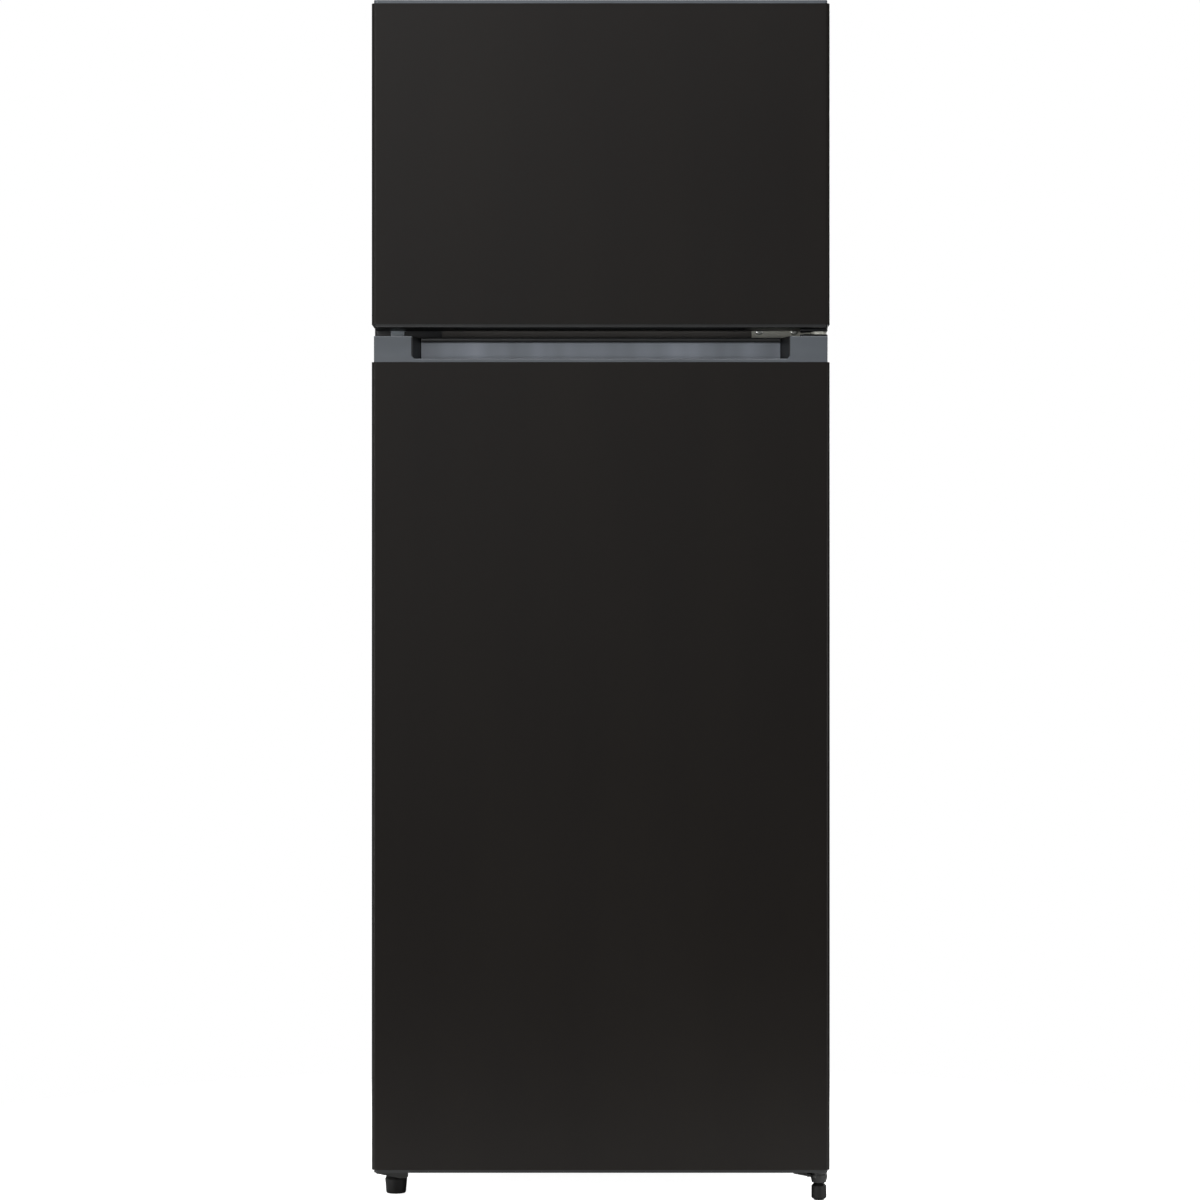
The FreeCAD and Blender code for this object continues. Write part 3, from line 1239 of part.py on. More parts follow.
def freezer_door():
    low = freezer_door_low + mm.low_lip
    high = mm.height - mm.top_lip
    side = freezer_half - mm.dyke_gap
    recess = hinge_recess("freezer_skin_recess")
    skin = node(minus("freezer_door_skin", door_skin("freezer_skin_sheet", low, high), recess))
    top_cap = node(freezer_top_cap())
    bottom_cap = node(freezer_bottom_cap())
    tops = (freezer_top - mm.freezer_rack_drop,
            freezer_low + mm.dyke_gap + mm.dyke_width + mm.freezer_rack_set + mm.rack_height)
    outer, inner = door_liner("freezer_door_liner", side, freezer_low + mm.dyke_gap, freezer_top - mm.dyke_gap,
                              (freezer_door_low, mm.height), mm.freezer_dyke_depth, tops)
    liner = node(minus("freezer_door_liner", outer, inner, recess))
    core = union("freezer_door_core", door_foam("freezer_foam_block", low, high), inner)
    pull = half - mm.pull_side
    scoop = block("freezer_pull_room", -pull, pull, front + mm.pull_front, front + mm.pull_front + mm.pull_width,
                  freezer_door_low, freezer_door_low + mm.pull_rise)
    socket_low = cabinet_top + mm.hinge_plate - mm.pin_length - mm.pin_end
    upper = rod("freezer_pin_room", pin_x, pin_y, mm.pin_radius + mm.pin_play, socket_low, mm.height)
    lower_high = gap_middle + mm.hinge_plate / 2 + mm.pin_length + mm.pin_end
    lower = rod("freezer_low_pin_room", pin_x, pin_y, mm.pin_radius + mm.pin_play, freezer_door_low, lower_high)
    node(minus("freezer_door_foam", core, skin, liner, top_cap, bottom_cap, recess, scoop, upper, lower))
    node(gasket("freezer_door_gasket", freezer_door_low + mm.gasket_mid, mm.height - mm.gasket_top))
    node(door_rack("freezer_rack_upper", side, mm.freezer_rack_depth, mm.rack_height, tops[0]))
    node(door_rack("freezer_rack_lower", side, mm.freezer_rack_depth, mm.rack_height, tops[1]))


def fridge_door():
    low = mm.door_low + mm.low_lip
    side = fridge_half - mm.dyke_gap
    wall = mm.cap_wall
    skin = node(door_skin("fridge_door_skin", low, fridge_skin_top))
    top_cap = node(fridge_top_cap())
    trim = node(grip_trim())
    bottom_cap = node(fridge_bottom_cap())
    upper_rack = fridge_top - mm.fridge_rack_drop
    tops = (upper_rack, upper_rack - mm.fridge_rack_pitch,
            fridge_low + mm.dyke_gap + mm.dyke_width + mm.bottle_rack_set + mm.bottle_rack_height)
    outer, inner = door_liner("fridge_door_liner", side, fridge_low + mm.dyke_gap, fridge_top - mm.dyke_gap,
                              (mm.door_low, grip_top), mm.dyke_depth, tops)
    liner = node(minus("fridge_door_liner", outer, inner))
    upper = block("fridge_foam_top", wall - cap_side, cap_side - wall, trim_far + wall, skin_back - wall,
                  fridge_skin_top, grip_top - wall)
    core = union("fridge_door_core", door_foam("fridge_foam_block", low, fridge_skin_top), upper, inner)
    grip = body("grip_room")
    pad(grip, "XY", [grip_outline(front, ZERO)], grip_floor, grip_top)
    pin_end = cabinet_low + mm.low_pin_length + mm.pin_end
    socket = rod("fridge_pin_room", pin_x, pin_y, mm.low_pin_radius + mm.pin_play, mm.door_low, pin_end)
    upper_end = gap_middle - mm.hinge_plate / 2 - mm.pin_length - mm.pin_end
    upper_socket = rod("fridge_top_pin_room", pin_x, pin_y, mm.pin_radius + mm.pin_play, upper_end, grip_top)
    node(minus("fridge_door_foam", core, skin, liner, top_cap, bottom_cap, trim, grip, socket, upper_socket))
    node(gasket("fridge_door_gasket", mm.door_low + mm.gasket_low, grip_top - mm.gasket_mid))
    node(door_rack("fridge_rack_upper", side, mm.rack_depth, mm.rack_height, tops[0]))
    node(door_rack("fridge_rack_middle", side, mm.rack_depth, mm.rack_height, tops[1]))
    node(door_rack("bottle_rack", side, mm.rack_depth, mm.bottle_rack_height, tops[2]))
    node(egg_tray())


freezer_door()
fridge_door()


# ---------------------------------------------------------------- shelves, drawer and control box
def shelf_glasses():
    """Three equal panes: two shelves and the crisper cover, each lying on its ribs."""
    item = body("shelf_glasses")
    side = fridge_half - mm.shelf_play
    wall = mm.shelf_trim_wall
    for level in shelf_levels:
        pad(item, "XY", [rect(-side, side, shelf_front + wall, shelf_rear - wall)], level, level + mm.glass)
    return item


def shelf_trims():
    """Moulded channels on the front and rear edges of the three panes."""
    item = body("shelf_trims")
    side = fridge_half - mm.shelf_play
    wall = mm.shelf_trim_wall
    near = shelf_front + wall
    far = shelf_rear - wall
    lip = mm.trim_lip
    for level in shelf_levels:
        top = level + mm.glass
        low = level - wall
        high = top + wall
        deep = high - mm.trim_drop
        pad(item, "YZ", [[(shelf_front, deep), (near, deep), (near, low), (near + lip, low), (near + lip, level),
                          (near, level), (near, top), (near + lip, top), (near + lip, high),
                          (shelf_front, high)]], -side, side)
        pad(item, "YZ", [[(far - lip, low), (shelf_rear, low), (shelf_rear, high), (far - lip, high),
                          (far - lip, top), (far, top), (far, level), (far - lip, level)]], -side, side)
        soften(item, wall / 2, edge("X", y=[shelf_front], z=[deep, high]))
    return item


def freezer_shelf():
    """A shelf of round wires lying on thicker cross wires, all one welding."""
    item = body("freezer_shelf")
    radius = mm.wire
    thick = mm.cross_wire
    side = freezer_half - mm.shelf_play
    near = shelf_front
    far = freezer_rear - mm.shelf_rear
    level = freezer_shelf_low + thick
    reach = side - thick * 2
    cross_pitch = (far - near - thick * 4) / (mm.cross_wires - 1)
    cross = pad(item, "YZ", [(near + thick * 2, level, thick)], -side, side)
    repeat(item, cross, mm.cross_wires, cross_pitch * (mm.cross_wires - 1), "H_Axis")
    wires = pad(item, "XZ", [(-reach, level + thick, radius)], near, far)
    repeat(item, wires, mm.wire_count, reach * 2, "H_Axis")
    return item


def crisper_drawer():
    """The deep vegetable drawer, with a grip rail along its front and two skids below."""
    item = body("crisper_drawer")
    wall = mm.crisper_wall
    side = fridge_half - mm.crisper_side
    near = cabinet_front + mm.crisper_front
    far = step_front - mm.crisper_gap
    low = fridge_low + mm.crisper_lift
    high = low + mm.crisper_high
    pad(item, "XY", [rect(-side, side, near, far)], low, high)
    cut(item, "XY", [rect(wall - side, side - wall, near + wall, far - wall)], low + wall, high)
    soften(item, mm.crisper_corner - wall, edge("Z", y=[near + wall, far - wall]))
    soften(item, mm.crisper_corner - wall, edge("X", y=[near + wall, far - wall], z=[low + wall]))
    soften(item, mm.crisper_corner, edge("Z", y=[near, far]))
    soften(item, mm.crisper_corner, edge("X", y=[near, far], z=[low]))
    grip_side = side - mm.crisper_corner
    out = near - mm.crisper_grip
    pad(item, "YZ", [[(out, high - mm.grip_high), (out + wall, high - mm.grip_high), (out + wall, high - wall),
                      (near + wall / 2, high - wall), (near + wall / 2, high), (out, high)]],
        -grip_side, grip_side)
    soften(item, wall / 2, edge("X", y=[out], z=[high]))
    return item


def control_box():
    """The white housing on the fridge ceiling, open above, with windows for knob, switch and lamp lens."""
    item = body("control_box")
    wall = mm.box_wall
    side = mm.box_half
    far = box_front + mm.box_depth
    pad(item, "XY", [rect(-side, side, box_front, far)], box_low, fridge_top)
    cut(item, "XY", [rect(wall - side, side - wall, box_front + wall, far - wall)], box_low + wall, fridge_top)
    soften(item, mm.box_round - wall, edge("X", y=[box_front + wall], z=[box_low + wall]),
           edge("Y", x=[wall - side, side - wall], z=[box_low + wall]))
    soften(item, mm.box_round, edge("X", y=[box_front], z=[box_low]), edge("Y", x=[-side, side], z=[box_low]),
           edge("Z", x=[-side, side], y=[box_front]))
    cut(item, "XZ", [(mm.knob_right, knob_z, mm.shaft_radius + mm.shaft_play),
                     (mm.switch_right, knob_z, mm.switch_radius + mm.shaft_play)], box_front, box_front + wall)
    left, right, near, rear = lens_outline(ZERO)
    cut(item, "XY", [rect(left, right, near, rear)], box_low, box_low + wall)
    return item


def lens_outline(grow):
    near = box_front + mm.lens_set
    left = -mm.lens_left
    return left - grow, left + mm.lens_width + grow, near - grow, near + mm.lens_depth + grow


def lamp_lens():
    """A clear window that drops into the floor of the control box and rests on its rim."""
    item = body("lamp_lens")
    wall = mm.box_wall
    left, right, near, far = lens_outline(ZERO)
    pad(item, "XY", [rect(left, right, near, far)], box_low, box_low + wall)
    left, right, near, far = lens_outline(wall)
    pad(item, "XY", [rect(left, right, near, far)], box_low + wall, box_low + wall * 2)
    return item


def lamp():
    """A small bulb lying along the box, screwed into its holder."""
    item = body("lamp")
    left, right, near, far = lens_outline(ZERO)
    y = (near + far) / 2
    z = box_low + mm.box_wall * 3 + mm.lamp_radius
    holder = left + mm.lamp_cap
    neck = holder + mm.lamp_cap * 2
    tip = neck + mm.lamp_length
    pad(item, "YZ", [(y, z, mm.lamp_radius)], neck, tip)
    soften_ends(item, mm.lamp_round, tip)
    pad(item, "YZ", [(y, z, mm.lamp_cap)], holder, neck)
    reach = mm.lamp_radius
    pad(item, "YZ", [rect(y - reach, y + reach, z - reach, fridge_top)], left, holder)
    return item


def soften_ends(item, radius, place):
    """Rounds the circular edge of a bar that ends at a place on X."""
    doc.recompute()
    base = item.Tip
    names = [f"Edge{number}" for number, candidate in enumerate(base.Shape.Edges, start=1)
             if abs(candidate.BoundBox.XMin - number_of(place)) < CLOSE]
    feature = item.newObject("PartDesign::Fillet", f"{item.Name}_end")
    feature.Base = (base, names)
    feature.setExpression("Radius", formula_of(radius))


def thermostat():
    """The temperature control behind the front of its box, with the shaft that carries the knob."""
    item = body("thermostat")
    reach = mm.thermostat_size / 2
    near = box_front + mm.box_wall
    pad(item, "XZ", [rect(mm.knob_right - reach, mm.knob_right + reach, knob_z - reach, knob_z + reach)],
        near, near + mm.thermostat_size)
    pad(item, "XZ", [(mm.knob_right, knob_z, mm.shaft_radius)], box_front - mm.shaft_reach, near)
    return item


def thermostat_knob():
    """A round knob with finger grooves and a blind hole for the shaft."""
    item = body("thermostat_knob")
    near = box_front - mm.knob_depth
    far = box_front - mm.knob_off
    x = mm.knob_right
    pad(item, "XZ", [(x, knob_z, mm.knob_radius)], near, far)
    cut(item, "XZ", [(x, knob_z, mm.shaft_radius + mm.shaft_play)], box_front - mm.shaft_reach - mm.pin_play, far)
    groove = cut(item, "XZ", [(x, knob_z + mm.knob_radius, mm.groove_radius)], near, far)
    pattern = item.newObject("PartDesign::PolarPattern", "thermostat_knob_grooves")
    pattern.Originals = [groove]
    axis = item.newObject("PartDesign::Line", "thermostat_knob_axis")
    axis.setExpression("Placement.Base.x", formula_of(x))
    axis.setExpression("Placement.Base.z", formula_of(knob_z))
    axis.Placement.Rotation = FreeCAD.Rotation(DIRECTIONS["X"], 90)
    pattern.Axis = (axis, [""])
    pattern.Angle = 360
    pattern.setExpression("Occurrences", formula_of(mm.knob_grooves))
    item.Tip = pattern
    return item


def light_switch_body():
    """The switch block behind the front of the control box, hollow for the plunger."""
    item = body("light_switch_body")
    reach = mm.switch_size / 2
    near = box_front + mm.box_wall
    far = near + mm.switch_depth
    x = mm.switch_right
    pad(item, "XZ", [rect(x - reach, x + reach, knob_z - reach, knob_z + reach)], near, far)
    cut(item, "XZ", [(x, knob_z, mm.switch_radius + mm.shaft_play)], near, far - mm.box_wall)
    return item


def light_switch():
    """The plunger that the closed fridge door holds in."""
    item = body("light_switch")
    near = door_back + mm.dyke_depth + mm.switch_clear
    pad(item, "XZ", [(mm.switch_right, knob_z, mm.switch_radius)], near,
        box_front + mm.switch_depth - mm.box_wall)
    return item


node(shelf_glasses())
node(shelf_trims())
node(freezer_shelf())
node(crisper_drawer())
node(control_box())
node(lamp_lens())
node(lamp())
node(thermostat())
node(thermostat_knob())
node(light_switch_body())
node(light_switch())


# ---------------------------------------------------------------- machine bay and condenser
can_left = mm.compressor_right - mm.compressor_length / 2
can_right = mm.compressor_right + mm.compressor_length / 2
roller_y = cabinet_back - mm.roller_set


def roller_x(side):
    return side * (half - mm.roller_side)


def compressor_base():
    """The steel cross channel that closes the bay below and carries compressor and rollers."""
    item = body("compressor_base")
    wall = mm.base_wall
    brim = base_top + mm.base_upturn
    pad(item, "XY", [rect(-inside, inside, bay_front, cabinet_back)], cabinet_low, base_top)
    for left, right in ((-inside, wall - inside), (inside - wall, inside)):
        pad(item, "XY", [rect(left, right, bay_front, cabinet_back)], base_top, brim)
    pad(item, "XY", [rect(-inside, inside, cabinet_back - wall, cabinet_back)], base_top, brim)
    reach = mm.roller_width / 2 + mm.ear_gap
    half_ear = mm.ear_half
    for side in (-1, 1):
        for left in (roller_x(side) - reach - mm.ear_wall, roller_x(side) + reach):
            pad(item, "YZ", [rect(roller_y - half_ear, roller_y + half_ear, mm.roller_radius, cabinet_low)],
                left, left + mm.ear_wall)
            pad(item, "YZ", [(roller_y, mm.roller_radius, half_ear)], left, left + mm.ear_wall)
            cut(item, "YZ", [(roller_y, mm.roller_radius, mm.axle_radius)], left, left + mm.ear_wall)
    first = roller_x(-1) + mm.roller_width
    last = can_left - mm.vent_width * 2
    near = bay_front + mm.vent_edge
    far = cabinet_back - mm.vent_edge
    slot = cut(item, "XY", [rect(first, first + mm.vent_width, near, far)], cabinet_low, base_top)
    repeat(item, slot, mm.vent_count, last - first, "H_Axis")
    return item


def roller_axles():
    """Steel pins through the ears of the base."""
    item = body("roller_axles")
    reach = mm.roller_width / 2 + mm.ear_gap + mm.ear_wall + mm.axle_end
    for side in (-1, 1):
        pad(item, "YZ", [(roller_y, mm.roller_radius, mm.axle_radius)], roller_x(side) - reach,
            roller_x(side) + reach)
    return item


def rear_roller(name, side):
    """A plastic wheel with a hub, free on its axle."""
    item = body(name)
    x = roller_x(side)
    reach = mm.roller_width / 2
    bore = mm.axle_radius + mm.axle_play
    pad(item, "YZ", [(roller_y, mm.roller_radius, mm.roller_radius), (roller_y, mm.roller_radius, bore)],
        x - reach, x + reach)
    ring = [(roller_y, mm.roller_radius, mm.recess_out), (roller_y, mm.roller_radius, mm.recess_in)]
    for low, high in ((x - reach, x - reach / 2), (x + reach / 2, x + reach)):
        cut(item, "YZ", ring, low, high)
    return item


def compressor():
    """The welded can with its seam, on two pressed feet."""
    item = body("compressor_can")
    x = mm.compressor_right
    y = compressor_y
    wide = mm.compressor_width / 2
    pad(item, "XY", [rect(can_left, can_right, y - wide, y + wide)], can_low, can_top)
    soften(item, mm.can_round, edge("Z"))
    soften(item, mm.can_top, edge("X", z=[can_top]))
    soften(item, mm.can_low, edge("X", z=[can_low]))
    seam = body("compressor_seam")
    out = mm.seam_out
    middle = can_low + mm.seam_rise
    pad(seam, "XY", [rect(can_left - out, can_right + out, y - wide - out, y + wide + out)],
        middle - mm.seam_high / 2, middle + mm.seam_high / 2)
    soften(seam, mm.can_round + out, edge("Z"))
    feet = body("compressor_feet")
    foot_side = mm.mount_x + mm.mount_radius
    foot_wide = mm.mount_y + mm.mount_radius
    pad(feet, "XY", [rect(x - foot_side, x + foot_side, y - foot_wide, y + foot_wide)],
        can_low, can_low + mm.mount_plate)
    soften(feet, mm.mount_radius, edge("Z"))
    for dx in (-1, 1):
        for dy in (-1, 1):
            cut(feet, "XY", [(x + dx * mm.mount_x, y + dy * mm.mount_y, mm.screw_radius)],
                can_low, can_low + mm.mount_plate)
    return union("compressor", item, seam, feet)


def compressor_mounts():
    """Four rubber mounts between the compressor feet and the base."""
    item = body("compressor_mounts")
    radius = mm.mount_radius
    third = mm.mount_high / 3
    profile = [(0, base_top), (radius, base_top), (radius, base_top + third),
               (mm.mount_waist, base_top + mm.mount_high / 2), (radius, can_low - third), (radius, can_low),
               (0, can_low)]
    for dx in (-1, 1):
        for dy in (-1, 1):
            turn(item, profile, mm.compressor_right + dx * mm.mount_x, compressor_y + dy * mm.mount_y)
    return item


def relay_cover(can):
    """The moulded cover on the end of the can, with the round entry for the mains lead behind."""
    item = body("relay_cover_moulding")
    wide = mm.relay_width / 2
    near = compressor_y - wide
    low = can_low + mm.can_low
    high = low + mm.relay_high
    right = can_right + mm.relay_depth
    pad(item, "XY", [rect(can_right - mm.can_round / 2, right, near, near + mm.relay_width)], low, high)
    soften(item, mm.box_round, edge("Z", x=[right]), edge("Y", x=[right], z=[high]))
    far = near + mm.relay_width
    cut(item, "XZ", [(right - mm.cord_side, low + mm.cord_side, mm.cord_radius)], far - mm.cord_depth, far)
    return minus("relay_cover", item, can)


def drip_tray():
    """The evaporating tray on the warm compressor, under the end of the drain tube."""
    item = body("drip_tray")
    wall = mm.tray_wall
    x = mm.compressor_right
    left, right = x - mm.tray_half_x, x + mm.tray_half_x
    near, far = compressor_y - mm.tray_half_y, compressor_y + mm.tray_half_y
    pad(item, "XY", [rect(left, right, near, far)], can_top, can_top + mm.tray_high)
    cut(item, "XY", [rect(left + wall, right - wall, near + wall, far - wall)], can_top + wall,
        can_top + mm.tray_high)
    soften(item, mm.box_round - wall, edge("Z", y=[near + wall, far - wall]))
    soften(item, mm.box_round, edge("Z", y=[near, far]))
    return item


condenser_y = cabinet_back + mm.condenser_space - mm.condenser_tube - mm.condenser_wire * 2
wire_middle = half - mm.condenser_side


def condenser_tube():
    """One long serpentine tube across the back of the cabinet."""
    bend = mm.condenser_pitch / 2
    points = []
    for number in range(int(number_of(mm.condenser_passes))):
        ends = (-wire_middle, wire_middle) if number % 2 == 0 else (wire_middle, -wire_middle)
        level = mm.condenser_low + mm.condenser_pitch * number
        points += [(ends[0], condenser_y, level), (ends[1], condenser_y, level)]
    return pipe("condenser_tube", points, mm.condenser_tube, bend - CLOSE)


def condenser_wires():
    """Two rows of upright wires, one welded to each side of the tube."""
    item = body("condenser_wires")
    radius = mm.condenser_tube
    thick = mm.condenser_wire
    span = mm.wire_pitch * (mm.wires_a_side - 1)
    low = mm.condenser_low - mm.wire_over
    high = mm.condenser_low + mm.condenser_pitch * (mm.condenser_passes - 1) + mm.wire_over
    for middle in (condenser_y - radius - thick, condenser_y + radius + thick):
        row = pad(item, "XY", [(span / -2, middle, thick)], low, high)
        repeat(item, row, mm.wires_a_side, span, "H_Axis")
    return item


def condenser_brackets():
    """Four pressed clips that hold the condenser off the back panel."""
    item = body("condenser_brackets")
    wall = mm.bracket_wall
    size = mm.bracket_size
    far = condenser_y - mm.condenser_tube - mm.condenser_wire * 2
    top = mm.condenser_low + mm.condenser_pitch * (mm.condenser_passes - 2)
    for x in (mm.bracket_side - wire_middle, wire_middle - mm.bracket_side):
        left, right = x - size / 2, x + size / 2
        for z in (mm.condenser_low + mm.condenser_pitch, top):
            pad(item, "XZ", [rect(left, right, z - size / 2, z + size / 2)], cabinet_back, cabinet_back + wall)
            pad(item, "XZ", [rect(left, right, z - wall / 2, z + wall / 2)], cabinet_back + wall, far)
            pad(item, "XZ", [rect(left, right, z - size / 4, z + size / 4)], far - wall, far)
    return item


def filter_drier():
    """The copper capsule between condenser and capillary, upright in the bay."""
    item = body("filter_drier")
    radius = mm.drier_radius
    low = can_low + mm.can_low
    high = low + mm.drier_length
    neck = mm.condenser_tube
    turn(item, [(0, low - radius), (neck, low - radius), (radius, low), (radius, high),
                (neck, high + radius), (0, high + radius)], drier_x, compressor_y)
    return item


def refrigerant_tubes():
    """Suction, discharge, liquid and capillary lines of the machine bay."""
    y = compressor_y
    run = mm.tube_run
    bend = mm.tube_bend
    suction_z = can_low + mm.suction_rise
    hot_z = can_low + mm.discharge_rise
    side = wire_middle + run
    last = mm.condenser_low + mm.condenser_pitch * (mm.condenser_passes - 1)
    liquid_z = bay_top - mm.drain_out - mm.condenser_tube * 2
    neck_low = can_low + mm.can_low - mm.drier_radius
    neck_high = can_low + mm.can_low + mm.drier_length + mm.drier_radius
    turn_low = neck_low - mm.capillary_drop
    lines = [
        pipe("suction_line", [(can_left, y, suction_z), (can_left - run, y, suction_z),
                              (can_left - run, y, bay_top)], mm.suction_tube, bend),
        pipe("discharge_line", [(can_left, y, hot_z), (can_left - run * 2, y, hot_z),
                                (can_left - run * 2, condenser_y, hot_z), (-side, condenser_y, hot_z),
                                (-side, condenser_y, mm.condenser_low),
                                (-wire_middle, condenser_y, mm.condenser_low)], mm.condenser_tube, bend),
        pipe("liquid_line", [(wire_middle, condenser_y, last), (side, condenser_y, last),
                             (side, condenser_y, liquid_z), (drier_x, condenser_y, liquid_z),
                             (drier_x, y, liquid_z), (drier_x, y, neck_high)], mm.condenser_tube, bend),
        pipe("capillary", [(drier_x, y, neck_low), (drier_x, y, turn_low), (drier_x - run, y, turn_low),
                           (drier_x - run, y, bay_top)], mm.capillary_tube, mm.capillary_bend),
    ]
    item = doc.addObject("Part::Compound", "refrigerant_tubes")
    item.Label = item.Name
    item.Links = lines
    return item


drier_x = (half - mm.drier_side) * -1

node(compressor_base())
node(roller_axles())
node(rear_roller("rear_roller_left", -1))
node(rear_roller("rear_roller_right", 1))
can = node(compressor())
node(compressor_mounts())
node(relay_cover(can))
node(drip_tray())
node(condenser_tube())
node(condenser_wires())
node(condenser_brackets())
node(filter_drier())
node(refrigerant_tubes())


# ---------------------------------------------------------------- check and write
def check_and_write():
    """Stops on any failed object or unsound piece, then writes one STEP file for each piece."""
    doc.recompute()
    for item in doc.Objects:
        if "Invalid" in item.State or "Error" in item.State:
            raise RuntimeError(f"{item.Label}: {item.State}")
    for item in NODES:
        if item.Shape.isNull() or not item.Shape.isValid() or not item.Shape.Solids:
            raise RuntimeError(f"{item.Label}: not a sound solid")
    os.makedirs("parts", exist_ok=True)
    for item in NODES:
        item.Shape.exportStep(f"parts/{item.Label}.step")
        print(item.Label, len(item.Shape.Solids), round(item.Shape.Volume / 1000, 2))


check_and_write()
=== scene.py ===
"""The finished look of a free-standing refrigerator with a freezer compartment above.

The sections follow the refrigerator as it is put together: the studio round it, then the cabinet,
its liners and fittings, the two doors, and last the cooling circuit behind. Lengths are in metres.
"""

import bmesh
import bpy
import math
from mathutils import Matrix, Vector


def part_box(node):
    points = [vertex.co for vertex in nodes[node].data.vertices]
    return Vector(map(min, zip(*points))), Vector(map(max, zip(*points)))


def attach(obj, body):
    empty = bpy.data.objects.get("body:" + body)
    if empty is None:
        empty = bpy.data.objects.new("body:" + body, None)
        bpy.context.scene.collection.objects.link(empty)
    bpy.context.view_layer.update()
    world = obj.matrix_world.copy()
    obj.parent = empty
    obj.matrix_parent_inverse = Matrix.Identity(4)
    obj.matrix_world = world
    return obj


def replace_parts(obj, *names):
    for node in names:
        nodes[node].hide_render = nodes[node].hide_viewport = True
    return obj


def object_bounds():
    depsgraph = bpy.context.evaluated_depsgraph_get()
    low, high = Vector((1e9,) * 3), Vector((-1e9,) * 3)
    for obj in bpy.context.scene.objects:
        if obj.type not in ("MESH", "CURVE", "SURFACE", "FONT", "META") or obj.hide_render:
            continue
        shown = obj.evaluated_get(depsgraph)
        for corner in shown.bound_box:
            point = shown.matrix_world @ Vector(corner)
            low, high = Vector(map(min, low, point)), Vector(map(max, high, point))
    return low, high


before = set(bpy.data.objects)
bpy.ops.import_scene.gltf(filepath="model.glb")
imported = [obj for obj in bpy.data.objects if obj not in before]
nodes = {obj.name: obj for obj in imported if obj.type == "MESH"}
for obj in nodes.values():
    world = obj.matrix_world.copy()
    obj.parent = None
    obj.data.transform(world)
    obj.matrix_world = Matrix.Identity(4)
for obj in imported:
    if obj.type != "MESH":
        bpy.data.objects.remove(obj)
cad_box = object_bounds()

# ---------------------------------------------------------------- camera
# A long lens, level and square to the doors, stands four metres in front of them, just below the
# middle of the cabinet. Its view is shifted up so that the uprights stay parallel.
camera_aside, camera_away, camera_high = -0.0009, 4.0, 0.65
camera = bpy.data.objects.new("camera", bpy.data.cameras.new("camera"))
camera.data.sensor_width = 36
camera.data.lens = 100.95
camera.data.shift_y = 0.0467
camera.data.clip_end = 60
camera.location = (camera_aside, cad_box[0].y - camera_away, camera_high)
camera.rotation_euler = (math.pi / 2, 0, 0)
bpy.context.scene.collection.objects.link(camera)
bpy.context.scene.camera = camera
bpy.context.scene.view_settings.view_transform = "Standard"


# ---------------------------------------------------------------- studio floor
# Matt white paint on a smooth screed. The disc fades out towards its rim, where it runs into the
# white of the room. It glows for the camera alone, brightest in the middle and fading outwards.
# This is a painted pool of light that lightens the shadow under the refrigerator and reaches
# nothing else.
def tint(code):
    """The shader's linear colour for a web colour code."""
    parts = [int(code[place:place + 2], 16) / 255 for place in (0, 2, 4)]
    return [part / 12.92 if part < 0.04045 else ((part + 0.055) / 1.055) ** 2.4
            for part in parts] + [1]


